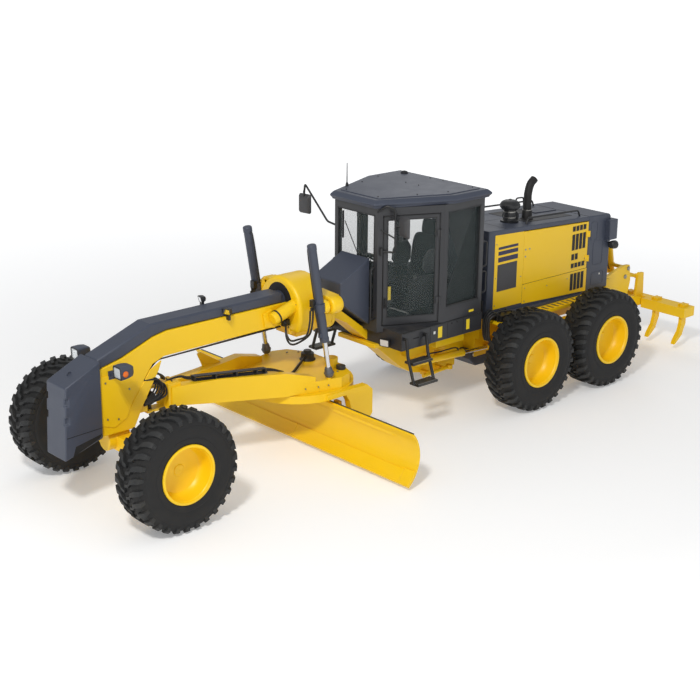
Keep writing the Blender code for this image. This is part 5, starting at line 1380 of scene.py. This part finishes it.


# Each louvre slot is a flat dark strip of painted shade, with raised fins along it.
def louvre(x, low, high):
    dark = upright_strip(x, SLOT_HALF, low, high, 0.0008)
    edges = (-SLOT_HALF, -SLOT_HALF / 3, SLOT_HALF / 3, SLOT_HALF)
    return dark, [upright_strip(x + edge, FIN_HALF, low, high, 0.004) for edge in edges]


LATCH = [(0, 0.0), (0, 0.014), (0.004, 0.013), (0.004, 0.006), (0.002, 0.005), (0.002, 0.0)]
for label, side in SIDES:
    build(f"door_skin_{label}", f"hood_door_{label}", YELLOW, on_side([side_plate(door)], side), bevel=0.0015)
    for body, where, wanted in ((f"hood_door_{label}", "upper", lambda low: low > DOOR_SILL),
            ("rear_frame", "lower", lambda low: low < DOOR_SILL)):
        pairs = [louvre(x, low, high) for low, high, count in LOUVRES if wanted(low) for x in COLUMNS[:count]]
        build(f"louvre_shade_strips_{where}_{label}", body, SEAM_BLACK_AND_PAINTED_SHADE, on_side([dark for dark, fins in pairs],
            side), bevel=0)
        build(f"louvre_fins_{where}_{label}", body, GUARD_GREY,
            on_side([fin for dark, fins in pairs for fin in fins], side), bevel=0, slot="yellow_paint")
    latches = []
    for x, z in ((DOOR_FRONT - 0.035, 2.03), (DOOR_FRONT - 0.035, 1.93), (DOOR_FRONT - 0.12, 2.03),
            (PANEL_REAR + 0.06, 1.68)):
        latches.append(turned(LATCH, (x, HOOD_SIDE + PANEL_SKIN, z), (0, 1, 0), 20))
    build(f"door_latches_{label}", f"hood_door_{label}", ZINC, on_side(latches, side), bevel=0)
screws = []
for x, z in ((back(5.80), 2.20), (back(5.80), 1.72), (back(5.80), 1.33), (back(6.32), 1.66),
        (back(6.42), 1.47), (back(6.42), 1.28), (back(6.90), 1.42), (back(7.35), 1.44)):
    screws += bolt_head((x, HOOD_SIDE + PANEL_SKIN, z), (0, 1, 0), 0.012)
build("panel_screws", "rear_frame", ZINC, both_sides(screws), bevel=0)
print("side panels ready")

# %% [markdown]
# A fitter walks on the hood, so it has rails along both edges and rough pads between them. Every flat
# item here follows the slope of the hood, which one function gives.

# %% Hood top: rails, seams and pads
RAIL_FRONT, RAIL_REAR, RAIL_LIFT = back(6.52), back(7.70), 0.085
LOOP_FRONT, LOOP_Y, LOOP_LIFT = back(7.00), -0.18, 0.22
rails = []
for y in (0.44, -0.44):
    rails.append(bent_bar([(RAIL_FRONT, y, hood_top(RAIL_FRONT) - 0.01),
                           (RAIL_FRONT - 0.04, y, hood_top(RAIL_FRONT - 0.04) + RAIL_LIFT),
                           (RAIL_REAR + 0.04, y, hood_top(RAIL_REAR + 0.04) + RAIL_LIFT),
                           (RAIL_REAR, y, hood_top(RAIL_REAR) - 0.01)], 0.013))
rails.append(bent_bar([(LOOP_FRONT, LOOP_Y, hood_top(LOOP_FRONT) - 0.01),
                       (LOOP_FRONT, LOOP_Y, hood_top(LOOP_FRONT) + LOOP_LIFT),
                       (LOOP_FRONT - 0.16, LOOP_Y, hood_top(LOOP_FRONT - 0.16) + LOOP_LIFT),
                       (LOOP_FRONT - 0.18, LOOP_Y, hood_top(LOOP_FRONT - 0.18) - 0.01)], 0.012))
build("hood_handrails", "rear_frame", BLACK, rails, bevel=0)


def on_hood(distance_front, distance_rear, y_low, y_high, thick, sink=0.002):
    x0, x1 = back(distance_front), back(distance_rear)
    return skin([[(x, y, hood_top(x) + lift) for y, lift in ((y_low, -sink), (y_high, -sink),
        (y_high, thick), (y_low, thick))] for x in (x0, x1)])


lines = [on_hood(6.03, 6.036, -0.53, 0.53, 0.0008), on_hood(7.785, 7.792, -0.53, 0.53, 0.0008),
    on_hood(6.036, 7.785, -0.004, 0.002, 0.0008)]
# The five short strips are vent slots, drawn as flat dark strips of painted shade; the lines above are seams.
lines += [on_hood(5.72 + 0.045 * k, 5.735 + 0.045 * k, -0.40, -0.12, 0.001) for k in range(5)]
build("hood_top_seams_and_shaded_slots", "rear_frame", SEAM_BLACK_AND_PAINTED_SHADE, lines, bevel=0)
build("hood_tread_pads", "rear_frame", PLASTIC, [on_hood(6.62, 7.62, 0.12, 0.36, 0.004),
    on_hood(6.62, 7.62, -0.36, -0.12, 0.004)], bevel=0.001)
hatch = [on_hood(7.25, 7.72, -0.30, -0.02, 0.012)]
build("hood_hatch", "rear_frame", SLATE, hatch, bevel=0.004)
print("hood top ready")

# %% [markdown]
# Two things stand on the hood: the exhaust, a pipe whose end curves back so that rain can't fall
# into it, and the precleaner, a spun bowl with a domed cap that throws dust out of the intake air.

# %% Exhaust and precleaner
exhaust_low, exhaust_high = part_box("exhaust_stack")
STACK_X, STACK_Y = exhaust_high.x - 0.045, (exhaust_low.y + exhaust_high.y) / 2
stack_foot = hood_top(STACK_X)
stack = [Vector((STACK_X, STACK_Y, stack_foot - 0.01)), Vector((STACK_X, STACK_Y, 2.62)),
    Vector((STACK_X - 0.004, STACK_Y, 2.72)), Vector((STACK_X - 0.045, STACK_Y, 2.84)),
    Vector((STACK_X - 0.125, STACK_Y, 2.905))]
boot = [(0.0, 0.0), (0.0, 0.092), (0.012, 0.092), (0.020, 0.074), (0.115, 0.070), (0.125, 0.064),
    (0.150, 0.062), (0.150, 0.0)]
SCORCHED = finish("scorched_black", (0.018, 0.017, 0.017), 0.62, metallic=0.2, dust=0.15, drift=0.5,
    grain=120, bump=0.0008)
shapes = [tube(stack, 0.057, 28), turned(boot, (STACK_X, STACK_Y, stack_foot), (0, 0, 1), 36)]
build("exhaust_pipe", "rear_frame", SCORCHED, shapes, bevel=0, stands_for=("exhaust_stack",))
# The pipe is closed at its end; a dark disc there is painted shade for the open bore.
end_axis = (stack[-1] - stack[-2]).normalized()
build("exhaust_mouth_painted_shade", "rear_frame", SEAM_BLACK_AND_PAINTED_SHADE, [turned([(-0.01, 0.0), (-0.01, 0.050), (0.0015, 0.050),
    (0.0015, 0.0)], stack[-1], end_axis, 28)], bevel=0)
cleaner_low, cleaner_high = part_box("precleaner")
CLEANER = Vector(((cleaner_low.x + cleaner_high.x) / 2, (cleaner_low.y + cleaner_high.y) / 2, 0))
CLEANER.z = hood_top(CLEANER.x)
cap = [(0.0, 0.0), (0.0, 0.128), (0.028, 0.130), (0.034, 0.092), (0.050, 0.088), (0.165, 0.086),
    (0.172, 0.098), (0.190, 0.100), (0.196, 0.122), (0.205, 0.138), (0.222, 0.1445),
    (0.252, 0.1440), (0.262, 0.136), (0.288, 0.118), (0.305, 0.085), (0.312, 0.050),
    (0.318, 0.022), (0.326, 0.018), (0.328, 0.0)]
shapes = [turned(cap, CLEANER, (0, 0, 1), 44)]
for number in range(20):
    angle = 2 * pi * number / 20
    outward, along = Vector((cos(angle), sin(angle), 0)), Vector((-sin(angle), cos(angle), 0))
    spot = CLEANER + outward * 0.110 + Vector((0, 0, 0.203))
    shapes.append(bar(spot - Vector((0, 0, 0.025)), spot + Vector((0, 0, 0.02)), 0.005, 6))
shapes.append(turned([(0, 0.0), (0, 0.066), (0.006, 0.070), (0.19, 0.070), (0.196, 0.066), (0.196, 0.0)],
    CLEANER + Vector((-0.09, -0.16, 0.064)), (0, 1, 0.0), 32))
build("precleaner_bowl", "rear_frame", BLACK, shapes, bevel=0, stands_for=("precleaner",))
bands = [turned([(-0.006, 0.0885), (-0.006, 0.092), (0.010, 0.092), (0.010, 0.0885)],
    CLEANER + Vector((0, 0, z)), (0, 0, 1), 40, closed=True) for z in (0.07, 0.15)]
bands.append(turned([(-0.007, 0.063), (-0.007, 0.068), (0.007, 0.068), (0.007, 0.063)],
    (STACK_X, STACK_Y, stack_foot + 0.138), (0, 0, 1), 36, closed=True))
build("intake_and_exhaust_clamps", "rear_frame", ZINC, bands, bevel=0)
print("stack top at z =", round(max(point.z for point in stack), 2))

# %% [markdown]
# Air leaves through a door of slats at the back. Each slat is a thin sloping slab in front of a dark
# sheet, which is painted shade for the space behind the slats. The lamps stand on boxes at the two
# corners, with red over amber.

# %% Radiator end
TAIL = back(8.30)


def side_ring(x, z, half_wide, half_high, width=0.010, corner=0.05, proud=0.004):
    outline = rounded_rect(half_wide, half_high, corner, 6)
    inner = rounded_rect(half_wide - width, half_high - width, corner - width, 6)
    rings = [[Vector((x + a, y, z + b)) for a, b in shape] for shape, y in ((outline, HOOD_SIDE - 0.001),
        (outline, HOOD_SIDE + proud), (inner, HOOD_SIDE + proud), (inner, HOOD_SIDE - 0.001))]
    return skin(rings, loop=True)


loops = [side_ring(back(7.92), 2.06, 0.075, 0.145), side_ring(back(8.03), 1.72, 0.115, 0.185),
    side_ring(back(8.05), 1.33, 0.14, 0.10, corner=0.03)]
build("tail_side_pressings", "rear_frame", SLATE, both_sides(loops), bevel=0.002)
build("tail_side_tag", "rear_frame", PAPER, both_sides([turned([(0, 0.0), (0, 0.014), (0.003, 0.013),
    (0.003, 0.0)], (back(8.10), HOOD_SIDE, 1.385), (0, 1, 0), 20)]), bevel=0)
grille = []
for number in range(22):
    z = 1.34 + 0.037 * number
    grille.append(slab([(TAIL - 0.004, z), (TAIL - 0.022, z - 0.012), (TAIL - 0.025, z - 0.009),
        (TAIL - 0.007, z + 0.004)], "y", -0.43, 0.43))
build("radiator_slats", "rear_frame", BLACK, grille, bevel=0)
# A flat dark sheet behind the slats: painted shade for the depth of the radiator.
build("radiator_painted_shade", "rear_frame", SEAM_BLACK_AND_PAINTED_SHADE, [box_between((TAIL - 0.002, -0.435, 1.31),
    (TAIL + 0.002, 0.435, 2.15))], bevel=0)
surround = []
for y0, y1, z0, z1 in ((-0.48, 0.48, 2.15, 2.19), (-0.48, 0.48, 1.27, 1.31), (-0.48, -0.43, 1.27, 2.19),
        (0.43, 0.48, 1.27, 2.19), (-0.015, 0.015, 1.31, 2.15)):
    surround.append(box_between((TAIL + 0.002, y0, z0), (TAIL - 0.030, y1, z1)))
for z in (1.45, 2.02):
    surround.append(turned([(0, 0.0), (0, 0.022), (0.09, 0.022), (0.09, 0.0)],
        (TAIL - 0.018, -0.50, z - 0.045), (0, 0, 1), 16))
surround.append(bent_bar([(TAIL - 0.02, 0.40, 1.62), (TAIL - 0.06, 0.40, 1.62), (TAIL - 0.06, 0.40, 1.82),
    (TAIL - 0.02, 0.40, 1.82)], 0.010))
build("radiator_door", "rear_frame", SLATE, surround, bevel=0.004)
boxes, lenses, reds = [], [], []
for side in (1, -1):
    boxes.append(box_between((back(8.19), side * 0.50, 1.89), (back(8.37), side * 0.63, 2.19)))
    boxes.append(box_between((back(8.19), side * 0.53, 1.86), (back(8.25), side * 0.60, 1.90)))
build("tail_lamp_boxes", "rear_frame", SLATE, boxes, bevel=0.008)
for side in (1, -1):
    for z, bucket in ((2.11, reds), (1.98, lenses)):
        bucket.append(turned([(0, 0.0), (0, 0.042), (0.010, 0.042), (0.018, 0.030), (0.020, 0.0)],
            (back(8.37), side * 0.565, z), (-1, 0, 0), 28))
build("tail_lamps_red", "rear_frame", RED, reds, bevel=0)
build("tail_lamps_amber", "rear_frame", AMBER, lenses, bevel=0)
WORK_LAMP = [(-0.07, 0.0), (-0.07, 0.035), (-0.055, 0.055), (0.0, 0.062), (0.045, 0.062),
    (0.050, 0.056), (0.050, 0.0)]
work = []
for side in (1, -1):
    work.append(turned(WORK_LAMP, (back(8.33), side * 0.60, 1.80), (-1, 0, -0.12), 32))
    work.append(bent_bar([(back(8.27), side * 0.53, 1.80), (back(8.33), side * 0.545, 1.80)], 0.014))
build("tail_work_lamps", "rear_frame", PLASTIC, work, bevel=0)
glass = [turned([(0, 0.0), (0, 0.054), (0.003, 0.050), (0.004, 0.0)],
    Vector((back(8.33), side * 0.60, 1.80)) + Vector((-0.050, 0, -0.006)), (-1, 0, -0.12), 28)
    for side in (1, -1)]
build("tail_work_lamp_lenses", "rear_frame", PAPER, glass, bevel=0)
print("radiator end ready")

# %% [markdown]
# Under the cab and across the pivot run the frame cylinders, the hose bundle and the belly guard.
# The hoses bridge the pivot, so they are one piece that rides on neither frame.

# %% Articulation cylinders and what crosses the pivot
FRONT_PIN, REAR_PIN, PIN_HEIGHT = (back(4.52), 0.36), (back(5.88), 0.52), 0.735
for label, side in SIDES:
    front = Vector((FRONT_PIN[0], side * FRONT_PIN[1], PIN_HEIGHT))
    rear = Vector((REAR_PIN[0], side * REAR_PIN[1], PIN_HEIGHT))
    line = (rear - front).normalized()
    tube_profile = [(0.24, 0.0), (0.24, 0.0295), (0.80, 0.0295), (0.80, 0.046), (0.794, 0.052),
        (0.752, 0.054), (0.748, 0.049), (0.10, 0.049), (0.085, 0.044), (0.03, 0.036), (0.03, 0.0)]
    shells = [turned(tube_profile, front, line, 36),
        turned([(-0.036, 0.0), (-0.036, 0.050), (-0.030, 0.052), (0.030, 0.052), (0.036, 0.050),
        (0.036, 0.0)], front, (0, 0, 1), 32)]
    build(f"frame_cylinder_{label}", f"articulation_barrel_{label}", YELLOW, shells, bevel=0,
        stands_for=(f"articulation_barrel_{label}",))
    ports = []
    for along in (0.16, 0.70):
        spot = front + line * along + Vector((0, 0, 0.045))
        ports += [bar(spot, spot + Vector((0, 0, 0.03)), 0.014, 12)]
    ports.append(tube([front + line * 0.70 + Vector((0, 0, 0.075)),
        front + line * 0.62 + Vector((0, 0, 0.095)),
        front + line * 0.40 + Vector((0, 0, 0.085)), front + line * 0.22 + Vector((0, 0, 0.09)),
        front + line * 0.16 + Vector((0, 0, 0.075))], 0.010, 10))
    build(f"frame_cylinder_line_{label}", f"articulation_barrel_{label}", HOSE, ports, bevel=0)
    reach = (rear - front).length
    rod_body = [turned([(0.50, 0.0), (0.50, 0.0275), (reach - 0.10, 0.0275), (reach - 0.10, 0.0)],
        front, line, 32)]
    build(f"frame_cylinder_rod_{label}", f"articulation_rod_{label}", CHROME, rod_body, bevel=0,
        stands_for=(f"articulation_rod_{label}",))
    eye = [turned([(reach - 0.15, 0.0), (reach - 0.15, 0.030), (reach - 0.14, 0.034), (reach - 0.05, 0.034),
        (reach - 0.02, 0.020), (reach - 0.02, 0.0)], front, line, 28)]
    eye.append(turned([(-0.034, 0.0), (-0.034, 0.047), (-0.028, 0.050), (0.028, 0.050), (0.034, 0.047),
        (0.034, 0.0)], rear, (0, 0, 1), 32))
    build(f"frame_cylinder_eye_{label}", f"articulation_rod_{label}", YELLOW, eye, bevel=0)
PIVOT_X = back(5.35)
bundle = []
for number in range(5):
    y, lift = -0.11 + 0.055 * number, 0.012 * (number % 2)
    bundle.append(tube([(PIVOT_X + 0.16, y, 1.03 + lift), (PIVOT_X + 0.10, y, 1.03 + lift),
        (PIVOT_X, y * 1.1, 1.055 + lift), (PIVOT_X - 0.12, y * 1.1, 1.045 + lift),
        (PIVOT_X - 0.24, y, 1.02 + lift), (PIVOT_X - 0.34, y, 1.00 + lift)], 0.016, 10))
piece = build("pivot_hoses", None, HOSE, bundle, bevel=0)
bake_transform(piece)
clamps = [box_between((PIVOT_X + 0.15, -0.15, 1.00), (PIVOT_X + 0.185, 0.15, 1.065))]
build("front_hose_clamp", "front_frame", BLACK, clamps, bevel=0.003)
build("rear_hose_clamp", "rear_frame", BLACK,
    [box_between((PIVOT_X - 0.345, -0.15, 0.98), (PIVOT_X - 0.30, 0.15, 1.05))], bevel=0.003)
guard = [(back(5.575), 0.66), (back(5.575), 0.54), (back(5.70), 0.42), (back(6.02), 0.41),
    (back(6.20), 0.55), (back(6.20), 0.66)]
build("belly_guard", "rear_frame", SLATE, [slab(guard, "y", -0.33, 0.33)], bevel=0.010)
build("belly_guard_tag", "rear_frame", PAPER,
    both_sides([box_between((back(5.68), 0.329, 0.575), (back(5.64), 0.332, 0.61))]), bevel=0)
lock = [bar((back(4.72), 0.27, 0.475), (back(5.22), 0.285, 0.505), 0.028, 20),
    turned([(-0.03, 0.0), (-0.03, 0.046), (0.03, 0.046), (0.03, 0.0)], (back(5.22), 0.285, 0.505),
    (0, 0, 1), 28), box_between((back(4.86), 0.15, 0.46), (back(4.78), 0.28, 0.52)),
    box_between((back(5.12), 0.15, 0.47), (back(5.06), 0.29, 0.53))]
build("frame_lock_bar", "front_frame", YELLOW, lock, bevel=0.003)
bulkhead = [(back(5.640), 0.50), (back(5.620), 0.50), (back(5.530), 0.30), (back(5.470), 0.12),
    (back(5.470), -0.12), (back(5.530), -0.30), (back(5.620), -0.50), (back(5.640), -0.50)]
shells = [slab(bulkhead, "z", 1.19, 1.42), slab([(x, y * 0.8) for x, y in bulkhead], "z", 1.46, 1.60)]
for number in range(6):
    y = -0.35 + 0.14 * number
    shells.append(tube([(back(5.60), y, 1.41), (back(5.56), y, 1.50), (back(5.58), y + 0.03, 1.70),
        (back(5.632), y + 0.05, 1.84)], 0.014, 10))
build("bulkhead_valves", "rear_frame", BLACK, shells, bevel=0.006)
print("pivot ready")

# %% [markdown]
# The deck over the rear wheels is a walkway with grip bars. Boxes, valves and hoses crowd its front
# end, behind the cab, and a ring of bolts closes each chain case.

# %% Boxes and steps over the tandems
shapes, greys = [], []
shapes.append(box_between((back(5.72), 0.56, 1.155), (back(6.02), 0.76, 1.24)))
greys.append(slab([(back(6.05), 1.155), (back(6.10), 1.215), (back(7.70), 1.165), (back(7.72), 1.152)],
    "y", 0.555, 0.60))
for x in (back(5.80), back(5.92)):
    shapes.append(bar((x, 0.66, 1.23), (x, 0.66, 1.30), 0.016, 14))
shapes.append(bent_bar([(back(5.70), 0.72, 1.16), (back(5.68), 0.72, 1.30), (back(5.98), 0.72, 1.27),
    (back(6.02), 0.72, 1.16)], 0.012))
for number in range(4):
    y = 0.58 + 0.035 * number
    shapes.append(tube([(back(5.80), y, 1.20), (back(5.68), y, 1.30 - 0.02 * number),
        (back(5.60), y - 0.03, 1.18), (back(5.60), y - 0.03, 0.98),
        (back(5.66), y - 0.05, 0.86)], 0.016, 10))
build("deck_battery_boxes", "rear_frame", BLACK, both_sides(shapes), bevel=0.005)
build("deck_kick_plates", "rear_frame", SLATE, both_sides(greys), bevel=0.002)
grips = []
for k in range(14):
    grips.append(box_between((back(6.15 + 0.11 * k), 0.63, 1.150), (back(6.19 + 0.11 * k), 0.76, 1.1535)))
build("deck_grip_bars", "rear_frame", ZINC, both_sides(grips), bevel=0)
CASE_SIDE, BOLT_CIRCLE = 0.896, 0.215
chain_bolts = []
for axle in (5.876, 7.411):
    for number in range(10):
        angle = 2 * pi * number / 10
        spot = (back(axle) + BOLT_CIRCLE * cos(angle), CASE_SIDE, 0.70 + BOLT_CIRCLE * sin(angle))
        chain_bolts += bolt_head(spot, (0, 1, 0), 0.016)
build("tandem_bolts", "rear_frame", ZINC, both_sides(chain_bolts), bevel=0)
print("tandem deck ready")

# %% [markdown]
# The ripper's cylinder lifts a beam with five shanks. The barrel is bored deeper than the rod ever
# reaches, and its trunnion pins are two stubs, so that the rod passes between them.

# %% Ripper
ripper_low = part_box("ripper_beam")[0]
RIPPER_EYE, RIPPER_TRUNNION = Vector((back(9.20), 0, 0.71)), Vector((back(9.09), 0, 1.25))
line = (RIPPER_TRUNNION - RIPPER_EYE).normalized()
mouth = RIPPER_TRUNNION - line * 0.12
profile = [(0.43, 0.0), (0.43, 0.0335), (0.0, 0.0335), (0.0, 0.050), (0.006, 0.057), (0.035, 0.058),
    (0.040, 0.0545), (0.42, 0.0545), (0.426, 0.057), (0.455, 0.057), (0.46, 0.050), (0.46, 0.0)]
shells = [turned(profile, mouth, line, 36), *(bar(RIPPER_TRUNNION + Vector((0, side * 0.036, 0)),
    RIPPER_TRUNNION + Vector((0, side * 0.0618, 0)), 0.040) for side in (1, -1))]
build("ripper_cylinder", "ripper_barrel", YELLOW, shells, bevel=0, stands_for=("ripper_barrel",))
hose = tube([mouth + line * 0.40 + Vector((0.052, 0.0, 0)),
    mouth + line * 0.42 + Vector((0.085, 0.01, 0.01)),
    mouth + line * 0.30 + Vector((0.10, 0.02, 0)), mouth + line * 0.10 + Vector((0.085, 0.02, 0)),
    mouth + line * 0.05 + Vector((0.05, 0.01, 0))], 0.010, 10)
build("ripper_cylinder_hose", "ripper_barrel", HOSE, [hose], bevel=0)
reach = (mouth + line * 0.10 - RIPPER_EYE).length
shells = [turned([(0.02, 0.0), (0.02, 0.0275), (reach, 0.0275), (reach, 0.0)], RIPPER_EYE, line, 28),
    bar(RIPPER_EYE - Vector((0, 0.0295, 0)), RIPPER_EYE + Vector((0, 0.0295, 0)), 0.050)]
build("ripper_cylinder_rod", "ripper_rod", CHROME, shells, bevel=0, stands_for=("ripper_rod",))
tips, pins = [], []
beam_x = ripper_low.x + 0.13
SHANKS = (-1.0, -0.5, 0.0, 0.5, 1.0)
for y in SHANKS:
    tooth = [(beam_x + 0.012, 0.235), (beam_x + 0.095, 0.275), (beam_x + 0.185, 0.155),
        (beam_x + 0.203, 0.101), (beam_x + 0.16, 0.118)]
    tips.append(slab(tooth, "y", y - 0.036, y + 0.036))
    pins.append(turned([(-0.048, 0.0), (-0.048, 0.016), (0.048, 0.016), (0.048, 0.0)], (beam_x, y, 0.692),
        (0, 1, 0), 18))
    pins.append(box_between((beam_x - 0.075, y - 0.052, 0.679), (beam_x + 0.07, y - 0.033, 0.72)))
    pins.append(box_between((beam_x - 0.075, y + 0.033, 0.679), (beam_x + 0.07, y + 0.052, 0.72)))
build("ripper_teeth", "ripper_beam", YELLOW, tips, bevel=0.003)
build("ripper_shank_pockets", "ripper_beam", YELLOW, pins, bevel=0.002)
mount_bolts = []
for z in (0.70, 0.88, 1.06, 1.14):
    mount_bolts += bolt_head((back(8.542), 0.39, z), (-1, 0, 0), 0.020)
PIN_CAP = [(0, 0.0), (0, 0.034), (0.008, 0.034), (0.012, 0.026), (0.012, 0.0)]
for distance, z in ((8.98, 0.76), (9.02, 1.13), (9.09, 1.25)):
    mount_bolts.append(turned(PIN_CAP, (back(distance), 0.346, z), (0, 1, 0), 24))
build("ripper_mount_bolts", "rear_frame", ZINC, both_sides(mount_bolts), bevel=0)
print("ripper ready")

# %% [markdown]
# Two small lamps on the beam light the blade. Steel oil lines follow the beam, and rubber hoses loop
# round the ball at the nose with some slack, because the drawbar moves there. The short hoses that
# reach the drawbar ride on neither body.

# %% Lamps and lines on the gooseneck
lamp_shapes, lamp_glass = [], []
for distance, y, z in ((1.34, -0.19, 2.06), (1.44, 0.20, 1.97)):
    spot, facing = Vector((back(distance), y, z + 0.045)), (1, 0.3 if y > 0 else -0.3, -0.25)
    outline = rounded_rect(0.055, 0.038, 0.010)
    lamp_shapes.append(lofted(spot, facing, outline, ((-0.07, 0.4), (-0.055, 0.75), (-0.015, 0.98),
        (0.0, 1.0), (0.003, 0.97), (0.003, 0.86), (-0.005, 0.84))))
    lamp_shapes.append(box_between((back(distance) - 0.045, y - 0.025, z - 0.06),
        (back(distance) - 0.015, y + 0.025, z + 0.02)))
    lamp_glass.append(lofted(spot, facing, outline, ((-0.003, 0.85), (0.001, 0.80), (0.002, 0.1))))
build("gooseneck_lamps", "front_frame", BLACK, lamp_shapes, bevel=0)
build("gooseneck_lamp_glass", "front_frame", REFLECTOR, lamp_glass, bevel=0)
pipes = []
for lift in (0.0, 0.028):
    pipes.append(bent_bar([(back(0.30), 0.10, 1.44 + lift), (back(0.50), 0.10, 1.60),
                           (back(2.20), 0.09 + lift, 1.632), (back(2.34), 0.09 + lift, 1.632)], 0.009, 0.05))
    pipes.append(bent_bar([(back(0.62), -0.162, 1.60 - lift * 0.2), (back(0.75), -0.162, 1.672 + lift),
                           (back(2.00), -0.162, 1.682 + lift)], 0.009, 0.05))
build("gooseneck_oil_lines", "front_frame", BLACK, pipes, bevel=0)
nose = []
for number, y in enumerate((0.02, 0.05, 0.08)):
    nose.append(tube([(back(0.28), y + 0.03, 1.50 - 0.02 * number), (back(0.38), y + 0.05, 1.47),
        (back(0.50), y + 0.05, 1.43), (back(0.58), y + 0.02, 1.37), (back(0.60), y, 1.33)], 0.0125, 10))
piece = build("nose_hoses", None, HOSE, nose, bevel=0)
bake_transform(piece)
loops = []
for number in range(7):
    y, reach, drop = 0.105 + 0.014 * (number % 4), 0.44 + 0.022 * number, 0.020 * number
    loops.append(tube([(back(0.27), y, 1.47 - drop), (back(reach - 0.05), y + 0.02, 1.44 - drop),
        (back(reach), y + 0.03, 1.32 - drop), (back(reach - 0.06), y + 0.02, 1.20 - drop * 0.5),
        (back(0.27), y, 1.13 - drop * 0.3)], 0.0115, 8))
build("nose_hose_loops", "front_frame", HOSE, loops, bevel=0)
axle_bits = []
for y in (0.50, 0.62):
    axle_bits += bolt_head((AXLE_X + 0.13, y, 0.80), (1, 0, 0), 0.018)
build("axle_bolts", "front_frame", ZINC, both_sides(axle_bits), bevel=0)
print("gooseneck ready,", len(made_pieces), "pieces in all")
